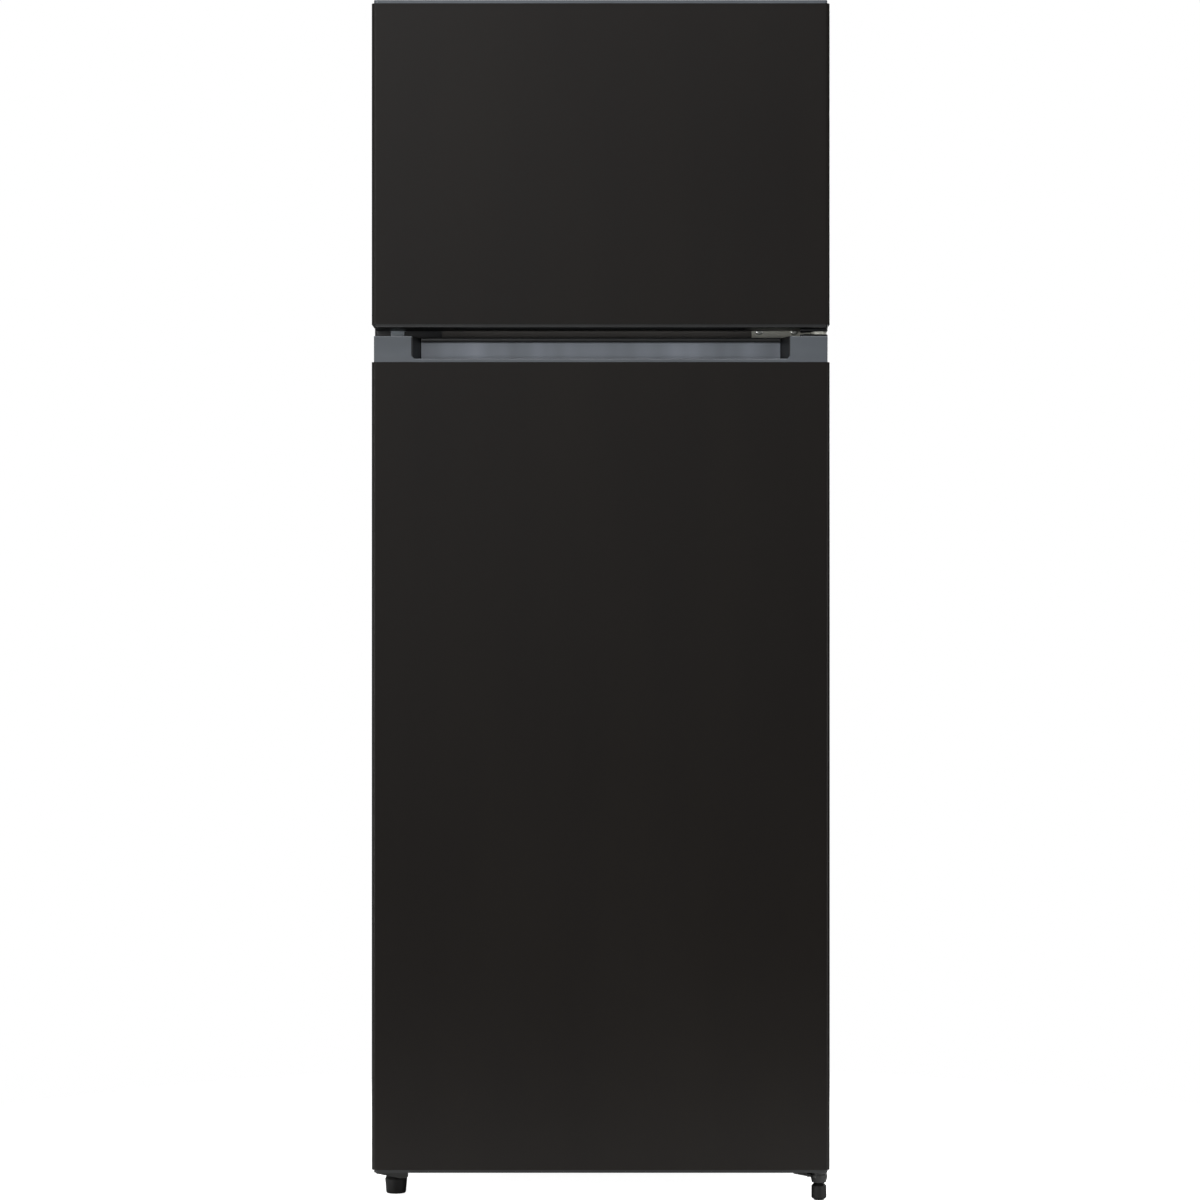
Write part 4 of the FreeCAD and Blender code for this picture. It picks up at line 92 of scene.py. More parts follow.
class Finish:
    """One material. Its methods make fields, such as clouds or cells, and let them drive the
    colour, the roughness and the relief."""

    def __init__(self, name, colour, roughness, metal=0.0, specular=0.5):
        self.material = bpy.data.materials.new(name)
        self.material.use_nodes = True
        self.tree = self.material.node_tree
        self.shader = self.tree.nodes["Principled BSDF"]
        self.set("Base Color", tint(colour))
        self.set("Roughness", roughness)
        self.set("Metallic", metal)
        self.set("Specular IOR Level", specular)

    def set(self, socket, value):
        self.shader.inputs[socket].default_value = value
        return self

    def node(self, kind, **values):
        item = self.tree.nodes.new(kind)
        for key, value in values.items():
            item.inputs[key.replace("_", " ").title()].default_value = value
        return item

    def place(self, stretch):
        spot = self.node("ShaderNodeTexCoord")
        mapping = self.node("ShaderNodeMapping", scale=stretch)
        self.tree.links.new(spot.outputs["Object"], mapping.inputs["Vector"])
        return mapping.outputs["Vector"]

    def clouds(self, scale, stretch=(1, 1, 1), detail=2.0):
        noise = self.node("ShaderNodeTexNoise", scale=scale, detail=detail)
        self.tree.links.new(self.place(stretch), noise.inputs["Vector"])
        return noise.outputs["Fac"]

    def cells(self, scale, stretch=(1, 1, 1), output="Color"):
        voronoi = self.node("ShaderNodeTexVoronoi", scale=scale)
        self.tree.links.new(self.place(stretch), voronoi.inputs["Vector"])
        return voronoi.outputs[output]

    def bars(self, scale, direction, stretch=(1, 1, 1)):
        wave = self.node("ShaderNodeTexWave", scale=scale)
        wave.bands_direction = direction
        self.tree.links.new(self.place(stretch), wave.inputs["Vector"])
        return wave.outputs["Fac"]

    def along(self, axis, start, stop):
        """A field that rises from 0 to 1 between two places on one axis of the refrigerator."""
        parts = self.node("ShaderNodeSeparateXYZ")
        self.tree.links.new(self.place((1, 1, 1)), parts.inputs[0])
        rise = self.node("ShaderNodeMapRange", from_min=start, from_max=stop)
        self.tree.links.new(parts.outputs[axis], rise.inputs["Value"])
        return rise.outputs["Result"]

    def colour(self, field, first, second, start=0.3, stop=0.7, mask=None):
        """Two colours shared out by a field, laid over the earlier ones where there is a mask."""
        ramp = self.node("ShaderNodeValToRGB")
        ramp.color_ramp.elements[0].position = start
        ramp.color_ramp.elements[0].color = tint(first)
        ramp.color_ramp.elements[1].position = stop
        ramp.color_ramp.elements[1].color = tint(second)
        self.tree.links.new(field, ramp.inputs["Fac"])
        result = ramp.outputs["Color"]
        if mask:
            layers = self.node("ShaderNodeMix")
            layers.data_type = "RGBA"
            earlier = self.shader.inputs["Base Color"].links[0].from_socket
            self.tree.links.new(mask, layers.inputs[0])
            self.tree.links.new(earlier, layers.inputs[6])
            self.tree.links.new(result, layers.inputs[7])
            result = layers.outputs[2]
        self.tree.links.new(result, self.shader.inputs["Base Color"])
        return self

    def rough(self, field, low, high):
        spread = self.node("ShaderNodeMapRange", from_min=0.3, from_max=0.7, to_min=low,
                           to_max=high)
        self.tree.links.new(field, spread.inputs["Value"])
        self.tree.links.new(spread.outputs["Result"], self.shader.inputs["Roughness"])
        return self

    def relief(self, field, height):
        bump = self.node("ShaderNodeBump", distance=height)
        earlier = self.shader.inputs["Normal"].links
        if earlier:
            self.tree.links.new(earlier[0].from_socket, bump.inputs["Normal"])
        self.tree.links.new(field, bump.inputs["Height"])
        self.tree.links.new(bump.outputs["Normal"], self.shader.inputs["Normal"])
        return self


def shape(name, form, material, body=None, smooth_below=35):
    """A bmesh made into a named piece with one material, smooth where faces meet at a slight
    angle, in degrees. A body's name makes the piece move with that body."""
    mesh = bpy.data.meshes.new(name)
    form.to_mesh(mesh)
    form.free()
    mesh.shade_smooth()
    mesh.set_sharp_from_angle(angle=math.radians(smooth_below))
    mesh.materials.append(material)
    piece = bpy.data.objects.new(name, mesh)
    bpy.context.scene.collection.objects.link(piece)
    if body:
        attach(piece, body)
    return piece


floor_radius = 1.2
floor_paint = Finish("floor_paint", "f4f4f3", 0.75, specular=0.1)
floor_paint.colour(floor_paint.clouds(0.8), "f2f2f1", "f6f6f5")
floor_paint.relief(floor_paint.clouds(60), 0.0002)
floor_paint.set("Emission Color", tint("ffffff"))
link = floor_paint.tree.links.new
reach = floor_paint.node("ShaderNodeTexGradient")
reach.gradient_type = "SPHERICAL"
link(floor_paint.place((0.9, 0.9, 0.9)), reach.inputs["Vector"])
solid = floor_paint.node("ShaderNodeMapRange", from_min=0.05, from_max=0.45)
link(reach.outputs["Fac"], solid.inputs["Value"])
fade = floor_paint.node("ShaderNodeMixShader")
link(solid.outputs["Result"], fade.inputs[0])
link(floor_paint.node("ShaderNodeBsdfTransparent").outputs[0], fade.inputs[1])
link(floor_paint.shader.outputs[0], fade.inputs[2])
link(fade.outputs[0], floor_paint.tree.nodes["Material Output"].inputs["Surface"])
# Painted light: the glow is strongest under the refrigerator, where it lightens the shadow.
painted_glow = floor_paint.node("ShaderNodeMapRange", from_min=0.1, from_max=0.72, to_max=0.95)
link(reach.outputs["Fac"], painted_glow.inputs["Value"])
seen = floor_paint.node("ShaderNodeMath")
seen.operation = "MULTIPLY"
link(painted_glow.outputs["Result"], seen.inputs[0])
link(floor_paint.node("ShaderNodeLightPath").outputs["Is Camera Ray"], seen.inputs[1])
link(seen.outputs[0], floor_paint.shader.inputs["Emission Strength"])
form = bmesh.new()
bmesh.ops.create_circle(form, cap_ends=True, segments=64, radius=floor_radius)
shape("studio_floor", form, floor_paint.material)


# ---------------------------------------------------------------- studio light
# White walls all round give a soft even light. A wide softbox stands behind the camera, another and
# a narrow strip hang high in front, two stand low at the sides and reach into the gap between
# the doors, one is overhead, and one lights the back.
def softbox(name, place, aim, width, height, power):
    """A lamp behind a white cloth of the given size, turned towards a point."""
    light = bpy.data.lights.new(name, "AREA")
    light.shape = "RECTANGLE"
    light.size = width
    light.size_y = height
    light.energy = power
    item = bpy.data.objects.new(name, light)
    item.location = place
    item.rotation_euler = (Vector(aim) - Vector(place)).to_track_quat("-Z", "Y").to_euler()
    bpy.context.scene.collection.objects.link(item)


middle = (0, 0, cad_box[1].z / 2)
softbox("front_softbox", (-1.3, -6.0, 1.5), middle, 4.0, 2.4, 21)
softbox("high_softbox", (-1.7, -4.0, 2.7), (0, 0, 0.9), 1.6, 1.4, 31)
softbox("strip_light", (-0.2, -3.0, 2.9), (0, 0, 1.2), 2.6, 0.3, 9)
softbox("low_left_softbox", (-4.2, -3.4, 0.45), middle, 1.6, 0.6, 54)
softbox("low_right_softbox", (4.2, -3.4, 0.45), middle, 1.6, 0.6, 48)
softbox("top_softbox", (0, 0, 3.4), (0, 0, 0), 3.4, 3.4, 138)
softbox("rear_softbox", (1.6, 3.4, 2.0), middle, 2.0, 2.0, 80)

room = bpy.data.worlds.new("white_room")
room.use_nodes = True
bpy.context.scene.world = room
wires = room.node_tree.links
walls = room.node_tree.nodes["Background"]
compass = room.node_tree.nodes.new("ShaderNodeTexCoord")
window = room.node_tree.nodes.new("ShaderNodeVectorMath")
window.operation = "DOT_PRODUCT"
window.inputs[1].default_value = (-0.35, -0.1, 0.8)
wires.new(compass.outputs["Generated"], window.inputs[0])
glow = room.node_tree.nodes.new("ShaderNodeMapRange")
glow.inputs["From Min"].default_value = -0.4
glow.inputs["From Max"].default_value = 0.8
glow.inputs["To Min"].default_value = 0.03
glow.inputs["To Max"].default_value = 0.45
wires.new(window.outputs["Value"], glow.inputs["Value"])
wires.new(glow.outputs["Result"], walls.inputs["Strength"])
walls.inputs["Color"].default_value = (1, 1, 1, 1)
plain = room.node_tree.nodes.new("ShaderNodeBackground")
plain.inputs["Color"].default_value = (1, 1, 1, 1)
rays = room.node_tree.nodes.new("ShaderNodeLightPath")
either = room.node_tree.nodes.new("ShaderNodeMixShader")
wires.new(rays.outputs["Is Camera Ray"], either.inputs[0])
wires.new(walls.outputs[0], either.inputs[1])
wires.new(plain.outputs[0], either.inputs[2])
wires.new(either.outputs[0], room.node_tree.nodes["World Output"].inputs["Surface"])


# ---------------------------------------------------------------- cabinet shell and mullion rail
# One sheet of pre-painted steel is folded over both sides and the top, and a painted channel
# crosses between the two openings. The coating is satin, with the fine peel a coil coater leaves.
def dress(material, *names):
    """Gives CAD nodes a finish in place of their plain one."""
    for name in names:
        nodes[name].material_slots[0].material = material


shell_paint = Finish("shell_paint", "1d1d1c", 0.42, specular=0.4)
shell_paint.colour(shell_paint.clouds(5), "1b1b1a", "20201f")
shell_paint.rough(shell_paint.clouds(9), 0.4, 0.43)
shell_paint.relief(shell_paint.clouds(900), 0.00003)
dress(shell_paint.material, "cabinet_shell")

rail_paint = Finish("rail_paint", "5c5956", 0.45, specular=0.4)
rail_paint.colour(rail_paint.clouds(12), "585552", "605d5a")
rail_paint.relief(rail_paint.clouds(700), 0.00003)
dress(rail_paint.material, "mullion_rail")


# ---------------------------------------------------------------- cover of the spare hinge holes
# Holes for a hinge on the other side lie under a black moulded strip, pressed into the rail and
# held by a grey plug in the first hole. It is the mirror image of the middle hinge's flange.
def slab(low, high, bevel):
    """A block with evenly rounded edges, for moulded and pressed pieces."""
    form = bmesh.new()
    bmesh.ops.create_cube(form, size=1)
    low, high = Vector(low), Vector(high)
    for vertex in form.verts:
        vertex.co = [(low[axis] + high[axis]) / 2 + vertex.co[axis] * (high[axis] - low[axis])
                     for axis in range(3)]
    bmesh.ops.bevel(form, geom=form.edges[:], offset=bevel, segments=3, affect="EDGES", profile=0.5)
    return form


cover_end, cover_low, cover_high, cover_out, cover_round = -0.1915, 1.0305, 1.0525, 0.0022, 0.0008
plug_left, plug_right, plug_low, plug_high = -0.2530, -0.2365, 1.0335, 1.0497
plug_in, plug_out, plug_round = 0.0021, 0.0040, 0.0009
strip_black = Finish("strip_black", "26272a", 0.4)
strip_black.colour(strip_black.clouds(30), "222326", "2a2b2e")
strip_black.relief(strip_black.clouds(900), 0.00003)
plug_grey = Finish("plug_grey", "9aa2a9", 0.4)
plug_grey.colour(plug_grey.clouds(60), "959da4", "9fa7ae")
hinge_low, hinge_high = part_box("middle_hinge")
rail_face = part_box("mullion_rail")[0].y
cover = slab((-hinge_high.x, rail_face - cover_out, cover_low), (cover_end, rail_face, cover_high),
             cover_round)
shape("spare_hole_cover", cover, strip_black.material, "cabinet")
plug = slab((plug_left, rail_face - plug_out, plug_low),
            (plug_right, rail_face - plug_in, plug_high), plug_round)
shape("spare_hole_plug", plug, plug_grey.material, "cabinet")

# ---------------------------------------------------------------- zinc-coated sheet
# Back panel, base pan and compressor base are hot-dip galvanised steel, left unpainted, so the
# zinc shows its crystals as flat patches of slightly different grey.
zinc = Finish("zinc_sheet", "a2a6a7", 0.45, metal=0.85)
zinc.colour(zinc.cells(120), "969b9c", "aeb2b2", 0.1, 0.9)
zinc.rough(zinc.clouds(40), 0.42, 0.5)
zinc.relief(zinc.clouds(250), 0.00004)
dress(zinc.material, "back_panel", "base_pan", "compressor_base", "thermostat")

# ---------------------------------------------------------------- foam and cold plates
# Polyurethane foam fills every wall, poured after assembly. The two aluminium evaporators lie in
# it, against the backs of the liners, and show the faint channels blown between their sheets.
foam = Finish("foam", "d9cb98", 0.9, specular=0.2)
foam.colour(foam.clouds(30), "cfbf88", "e3d7ab")
foam.relief(foam.cells(900, output="Distance"), 0.0003)
dress(foam.material, "cabinet_foam", "freezer_door_foam", "fridge_door_foam")

roll_bond = Finish("roll_bond", "c3c7ca", 0.35, metal=0.9)
roll_bond.colour(roll_bond.clouds(25), "b9bdc0", "cdd1d3")
roll_bond.relief(roll_bond.bars(14, "Z"), 0.0008)
dress(roll_bond.material, "evaporators")

# ---------------------------------------------------------------- liners
# Each compartment and each door back is one sheet of white polystyrene drawn into a mould, half
# glossy, with a very fine grain.
liner = Finish("liner_plastic", "e8eaea", 0.3, specular=0.5)
liner.colour(liner.clouds(4), "e5e7e7", "ebedec")
liner.rough(liner.clouds(14), 0.3, 0.37)
liner.relief(liner.clouds(900), 0.00001)
dress(liner.material, "freezer_liner", "fridge_liner", "freezer_door_liner", "fridge_door_liner")

# ---------------------------------------------------------------- shelves
# Tempered glass panes with white channels pushed over their front and rear edges, and a freezer
# shelf of steel wire, welded and then coated in white plastic.
pane = Finish("shelf_glass", "e3f2ec", 0.02, specular=0.5)
pane.rough(pane.clouds(20), 0.01, 0.05)
pane.set("Transmission Weight", 1.0).set("IOR", 1.5)
dress(pane.material, "shelf_glasses")

white_plastic = Finish("white_plastic", "eceeee", 0.34)
white_plastic.colour(white_plastic.clouds(18), "e9ebeb", "efefef")
white_plastic.relief(white_plastic.clouds(1200), 0.00002)
dress(white_plastic.material, "shelf_trims", "control_box", "light_switch_body", "light_switch",
      "drain_tube")

wire_coat = Finish("wire_coat", "e6e8e8", 0.4)
wire_coat.colour(wire_coat.clouds(60), "dfe2e2", "eceeee")
wire_coat.relief(wire_coat.clouds(400), 0.00005)
dress(wire_coat.material, "freezer_shelf")

# ---------------------------------------------------------------- crisper, racks and egg tray
# Moulded in clear polystyrene with the faint blue of the bare resin; the corners and the rims look
# denser because more plastic is seen edge on.
clear = Finish("clear_plastic", "edf5f9", 0.06)
clear.rough(clear.clouds(30), 0.04, 0.12)
clear.relief(clear.clouds(25), 0.0001)
clear.set("Transmission Weight", 0.92).set("IOR", 1.2)
dress(clear.material, "crisper_drawer", "freezer_rack_upper", "freezer_rack_lower",
      "fridge_rack_upper", "fridge_rack_middle", "bottle_rack")

egg_plastic = Finish("egg_plastic", "e4ebee", 0.3)
egg_plastic.colour(egg_plastic.clouds(30), "dfe7eb", "e9eef0")
egg_plastic.set("Transmission Weight", 0.25)
dress(egg_plastic.material, "egg_tray")


# ---------------------------------------------------------------- control box, lamp and dial
# A white moulded box hangs from the ceiling. Behind its ribbed lens burns a small filament lamp,
# and a dial on its front, with printed figures, turns the thermostat inside.
def between(form, rings, joined=False):
    """Faces from each ring of corners to the next, and from the last to the first if joined."""
    for ring, following in zip(rings, rings[1:] + (rings[:1] if joined else [])):
        for place in range(len(ring)):
            after = (place + 1) % len(ring)
            form.faces.new((ring[place], ring[after], following[after], following[place]))


def lidded(form, rings):
    """A run of rings with a face over each end."""
    between(form, rings)
    form.faces.new(rings[0])
    form.faces.new(list(reversed(rings[-1])))
    bmesh.ops.recalc_face_normals(form, faces=form.faces)


lens = Finish("ribbed_lens", "f2f4f2", 0.15)
lens.rough(lens.clouds(60), 0.12, 0.22)
lens.set("Transmission Weight", 0.7).set("IOR", 1.3)
lens_low, lens_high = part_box("lamp_lens")
ribs, rib_deep, rib_steps = 20, 0.0011, 8
form = bmesh.new()
rows = []
for step in range(ribs * rib_steps + 1):
    x = lens_low.x + (lens_high.x - lens_low.x) * step / (ribs * rib_steps)
    under = lens_low.z + rib_deep * abs(math.sin(math.pi * step / rib_steps))
    corners = ((lens_low.y, under), (lens_high.y, under), (lens_high.y, lens_high.z),
               (lens_low.y, lens_high.z))
    rows.append([form.verts.new((x, y, z)) for y, z in corners])
lidded(form, rows)
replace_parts(shape("ribbed_lens", form, lens.material, "cabinet", smooth_below=50), "lamp_lens")

bulb = Finish("lit_bulb", "fff3dc", 0.2)
bulb.colour(bulb.clouds(90), "ffeccb", "fff6e6")
bulb.set("Emission Color", tint("fff0d0")).set("Emission Strength", 2.5)
dress(bulb.material, "lamp")

dial = Finish("dial_plastic", "d5d8d9", 0.36)
dial.colour(dial.clouds(45), "d1d4d5", "dadcdd")
dial.relief(dial.clouds(1500), 0.00002)
dress(dial.material, "thermostat_knob")

print_grey = Finish("printed_figures", "4b5054", 0.6)
print_grey.colour(print_grey.clouds(300), "464b4f", "52575b")
figure_high, figure_thick, figure_lift, figure_gap = 0.0044, 0.00003, 0.00004, 0.0024
first_turn, turn_step = -125, 50
knob_low, knob_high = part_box("thermostat_knob")
knob = (knob_low + knob_high) / 2
ring = (knob_high.x - knob_low.x) / 2 + figure_gap
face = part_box("control_box")[0].y - figure_lift
for number in range(6):
    angle = math.radians(first_turn + turn_step * number)
    figure = bpy.data.curves.new(f"dial_figure_{number}", "FONT")
    figure.body = str(number)
    figure.size = figure_high
    figure.extrude = figure_thick
    figure.align_x = "CENTER"
    figure.align_y = "CENTER"
    figure.materials.append(print_grey.material)
    item = bpy.data.objects.new(f"dial_figure_{number}", figure)
    item.location = (knob.x + ring * math.sin(angle), face, knob.z + ring * math.cos(angle))
    item.rotation_euler = (math.pi / 2, 0, 0)
    bpy.context.scene.collection.objects.link(item)
    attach(item, "cabinet")

# ---------------------------------------------------------------- hinges, brackets and feet
# Pressed steel plates carry the doors. The top and bottom ones and the foot brackets are painted
# black, the middle one is plated. Black plastic feet screw into the brackets.
bracket_paint = Finish("bracket_paint", "191919", 0.4)
bracket_paint.colour(bracket_paint.clouds(40), "161616", "1e1e1d")
bracket_paint.relief(bracket_paint.clouds(500), 0.00005)
dress(bracket_paint.material, "top_hinge", "bottom_hinge", "left_foot_bracket",
      "condenser_brackets")

plated = Finish("plated_steel", "e0e0d4", 0.4, metal=0.2)
plated.colour(plated.clouds(60, (1, 1, 6)), "d4d4c8", "eaeae0")
plated.relief(plated.clouds(500), 0.00003)
dress(plated.material, "middle_hinge", "roller_axles")

black_plastic = Finish("black_plastic", "191a1b", 0.38)
black_plastic.colour(black_plastic.clouds(30), "161718", "1d1e1f")
black_plastic.relief(black_plastic.clouds(1400), 0.00003)
dress(black_plastic.material, "top_hinge_cover", "rear_roller_left", "rear_roller_right",
      "relay_cover", "drip_tray", "freezer_bottom_cap", "fridge_top_cap", "fridge_bottom_cap")

foot_plastic = Finish("foot_plastic", "0e0d0c", 0.5, specular=0.3)
foot_plastic.colour(foot_plastic.clouds(60), "0c0b0a", "11100f")
foot_plastic.relief(foot_plastic.clouds(1400), 0.00004)
dress(foot_plastic.material, "front_foot_left", "front_foot_right")


# ---------------------------------------------------------------- hinge screws
# Zinc-plated pan head screws hold the hinge plates and the foot bracket. The cross recess is
# punched into the head before the thread is rolled, and each head bears flat on its plate.
def solids(name):
    """The lowest and highest corner of each separate solid in a CAD node."""
    form = bmesh.new()
    form.from_mesh(nodes[name].data)
    bmesh.ops.remove_doubles(form, verts=form.verts, dist=0.00001)
    waiting = set(form.verts)
    found = []
    while waiting:
        group = [waiting.pop()]
        for vertex in group:
            for side in vertex.link_edges:
                other = side.other_vert(vertex)
                if other in waiting:
                    waiting.remove(other)
                    group.append(other)
        spots = [vertex.co for vertex in group]
        found.append((Vector([min(spot[axis] for spot in spots) for axis in range(3)]),
                      Vector([max(spot[axis] for spot in spots) for axis in range(3)])))
    form.free()
    return sorted(found, key=lambda box: tuple(box[0]))


def screw(name, seat, away, radius, high, shank, depth, material, body):
    """A pan head with a cross recess on a plain shank. The head rises from its seat along the unit
    vector away."""
    form = bmesh.new()
    sides = 48
    outline = [(shank, -depth), (shank, 0), (radius, 0), (radius, high * 0.35),
               (radius * 0.94, high * 0.62), (radius * 0.8, high * 0.86), (radius * 0.6, high)]
    turns = [math.tau * step / sides for step in range(sides)]
    rings = [[form.verts.new((out * math.cos(turn), out * math.sin(turn), up)) for turn in turns]
             for out, up in outline]
    between(form, rings)
    form.faces.new(list(reversed(rings[0])))
    arm, half_slot, deep = radius * 0.5, radius * 0.13, high * 0.55
    quarter = [(arm, -half_slot), (arm, half_slot), (half_slot, half_slot)]
    cross = []
    for quadrant in range(4):
        cross += quarter
        quarter = [(-y, x) for x, y in quarter]
    brim = [form.verts.new((x, y, high)) for x, y in cross]
    sole = [form.verts.new((x * 0.8, y * 0.8, high - deep)) for x, y in cross]
    for place in range(12):
        after = (place + 1) % 12
        form.faces.new((brim[after], brim[place], sole[place], sole[after]))
    form.faces.new(sole)
    top = [edge for edge in form.edges if edge.is_boundary]
    bmesh.ops.triangle_fill(form, use_beauty=True, use_dissolve=False, edges=top, normal=(0, 0, 1))
    bmesh.ops.recalc_face_normals(form, faces=form.faces)
    turn = Vector((0, 0, 1)).rotation_difference(Vector(away)).to_matrix().to_4x4()
    bmesh.ops.transform(form, matrix=Matrix.Translation(seat) @ turn, verts=form.verts)
    return shape(name, form, material, body, smooth_below=40)


head_radius, head_high, head_seat = 0.0044, 0.0023, 0.0024
shank_radius, shank_short = 0.0024, 0.0026
screw_steel = Finish("screw_steel", "dcdedb", 0.3, metal=0.6)
screw_steel.colour(screw_steel.clouds(700), "d2d5d1", "e6e8e5")
top_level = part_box("top_hinge")[0].z + 0.005
for number, (low, high) in enumerate(solids("hinge_screws")):
    middle_x, middle_y, middle_z = (low + high) / 2
    if high.z > top_level:
        seat, away, reach = (middle_x, middle_y, high.z - head_seat), (0, 0, 1), high.z - low.z
    elif high.y - low.y > high.z - low.z:
        seat, away, reach = (middle_x, low.y + head_seat, middle_z), (0, -1, 0), high.y - low.y
    else:
        seat, away, reach = (middle_x, middle_y, low.z + head_seat), (0, 0, -1), high.z - low.z
    head = screw(f"hinge_screw_{number}", seat, away, head_radius, head_high, shank_radius,
                 reach - shank_short, screw_steel.material, "cabinet")
    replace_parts(head, "hinge_screws")

# ---------------------------------------------------------------- middle hinge bearings
# Two black nylon bearing plates slip over the collar of the middle hinge, one under its arm and one
# over it. They carry the doors and keep the steel from squeaking.
bearing_left, bearing_deep, bearing_proud, bearing_round = 0.2385, 0.018, 0.0008, 0.0012
arm_half, bearing_thick = 0.0017, 0.0032
arm_middle = (hinge_low.z + hinge_high.z) / 2
for name, low, high in (("lower", -arm_half - bearing_thick, -arm_half),
                        ("upper", arm_half, arm_half + bearing_thick)):
    bearing = slab((bearing_left, hinge_low.y - bearing_proud, arm_middle + low),
                   (hinge_high.x + bearing_proud, hinge_low.y + bearing_deep, arm_middle + high),
                   bearing_round)
    shape(f"hinge_bearing_{name}", bearing, strip_black.material, "cabinet")

# ---------------------------------------------------------------- back panel screws
# Self-tapping screws along the edges of the back panel hold it to the folded edges of the shell.
# Six go up each side and three more cross the top.
panel_head = {"radius": 0.0038, "high": 0.0019, "shank": 0.0018, "depth": 0.0015}
screw_edge, screw_rows, screw_apart = 0.0085, 6, 0.13
panel_low, panel_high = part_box("back_panel")
upright = panel_high.z - panel_low.z - 2 * screw_edge
panel_spots = [(side * (panel_high.x - screw_edge),
                panel_low.z + screw_edge + upright * row / (screw_rows - 1))
               for side in (-1, 1) for row in range(screw_rows)]
panel_spots += [(x, panel_high.z - screw_edge) for x in (-screw_apart, 0, screw_apart)]
for number, (x, z) in enumerate(panel_spots):
    screw(f"panel_screw_{number}", (x, panel_high.y, z), (0, 1, 0), **panel_head,
          material=screw_steel.material, body="cabinet")

# ---------------------------------------------------------------- door skins
# Each door is faced with one sheet of pre-painted steel, bent round the front and both sides. The
# satin black lies a little unevenly, so broad soft patches catch the light.
door_paint = Finish("door_paint", "110d0a", 0.4, specular=0.25)
door_paint.colour(door_paint.clouds(4, (3, 1, 0.5)), "100c09", "130f0b")
door_paint.rough(door_paint.clouds(5), 0.38, 0.42)
door_paint.relief(door_paint.clouds(700), 0.00002)
dress(door_paint.material, "freezer_door_skin", "fridge_door_skin")

# ---------------------------------------------------------------- door end caps and grip trim
# The top cap and the trim that forms the grip are moulded in a blue-grey plastic with a light
# sheen. The caps are pushed into the ends of the skins before the door is foamed.
def blue_grey(name):
    """The moulded plastic of the caps and the trim, a little cloudy where the melt flowed."""
    finish = Finish(name, "565b61", 0.26)
    finish.colour(finish.clouds(9, (1, 1, 3)), "51565c", "5a5f65")
    finish.relief(finish.clouds(1300), 0.00002)
    return finish


cap_grey = blue_grey("cap_grey")
dress(cap_grey.material, "freezer_top_cap")

posts_back, wall_front = -0.262, -0.254
grip_grey_with_painted_light = blue_grey("grip_grey_with_painted_light")
# The back wall of the recess, behind the posts, is painted lighter than the posts and in soft
# upright bands. This is painted light and painted reflections, not a different plastic.
grip_grey_with_painted_light.colour(grip_grey_with_painted_light.clouds(16, (1, 0, 0)), "62686f", "868c96",
                 mask=grip_grey_with_painted_light.along("Y", posts_back, wall_front))
dress(grip_grey_with_painted_light.material, "grip_trim")

# ---------------------------------------------------------------- rolled edge behind the grip
# The black cap of the fridge door is rolled over the top of the grey wall as a soft nose, so that
# fingers find no sharp edge behind the grip.
nose_half, nose_high, nose_deep, wall_face = 0.2145, 0.0056, 0.0042, -0.2520
grip_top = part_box("grip_trim")[1].z
outline = [(0, 0)]
for step in range(9):
    turn = math.radians(90 - 18 * step)
    outline.append((nose_deep * (0.7 + 0.3 * math.cos(turn)),
                    -nose_high * (0.5 - 0.5 * math.sin(turn))))
outline.append((0, -nose_high))
form = bmesh.new()
lidded(form, [[form.verts.new((end, wall_face - out, grip_top + up)) for out, up in outline]
              for end in (-nose_half, nose_half)])
shape("grip_nose", form, black_plastic.material, "fridge_door")


# ---------------------------------------------------------------- door gaskets
# Soft grey vinyl, extruded with a barbed foot, a folding bellows and a flat bulb that holds the
# magnet, then welded at 45 degrees in the corners. The foot is pressed into a groove of the door.
def gasket(name, body, material):
    """A bellows profile carried once round the door. The points of the profile are shares of its
    width, inwards from the edge, and of its depth, off the door."""
    wide = 0.012
    profile = [(0.15, 0), (0.85, 0), (0.85, 0.14), (0.7, 0.2), (0.8, 0.34), (0.7, 0.46),
               (0.94, 0.52), (1, 0.62), (1, 0.88), (0.93, 1), (0.08, 1), (0, 0.9), (0, 0.66),
               (0.06, 0.52), (0.3, 0.46), (0.2, 0.34), (0.3, 0.2), (0.15, 0.14)]
    low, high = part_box(name)
    deep = high.y - low.y
    form = bmesh.new()
    rings = []
    for side, end in ((-1, -1), (1, -1), (1, 1), (-1, 1)):
        edge_x = high.x if side > 0 else low.x
        edge_z = high.z if end > 0 else low.z
        rings.append([form.verts.new((edge_x - side * wide * inward, low.y + deep * off,
                                      edge_z - end * wide * inward)) for inward, off in profile])
    between(form, rings, joined=True)
    bmesh.ops.recalc_face_normals(form, faces=form.faces)
    piece = shape(f"{name}_bellows", form, material, body, smooth_below=25)
    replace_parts(piece, name)


vinyl = Finish("gasket_vinyl", "4d4f51", 0.5)
vinyl.colour(vinyl.clouds(50), "484a4c", "535557")
vinyl.relief(vinyl.clouds(800), 0.00003)
gasket("freezer_door_gasket", "freezer_door", vinyl.material)
gasket("fridge_door_gasket", "fridge_door", vinyl.material)

# ---------------------------------------------------------------- compressor
# A deep-drawn steel can, welded shut round its middle and dipped in gloss black paint. It stands on
# rubber grommets, with copper tubes brazed into it.
can_paint = Finish("can_paint", "101010", 0.22)
can_paint.colour(can_paint.clouds(14), "0d0d0d", "151515")
can_paint.relief(can_paint.clouds(220), 0.00006)
dress(can_paint.material, "compressor")

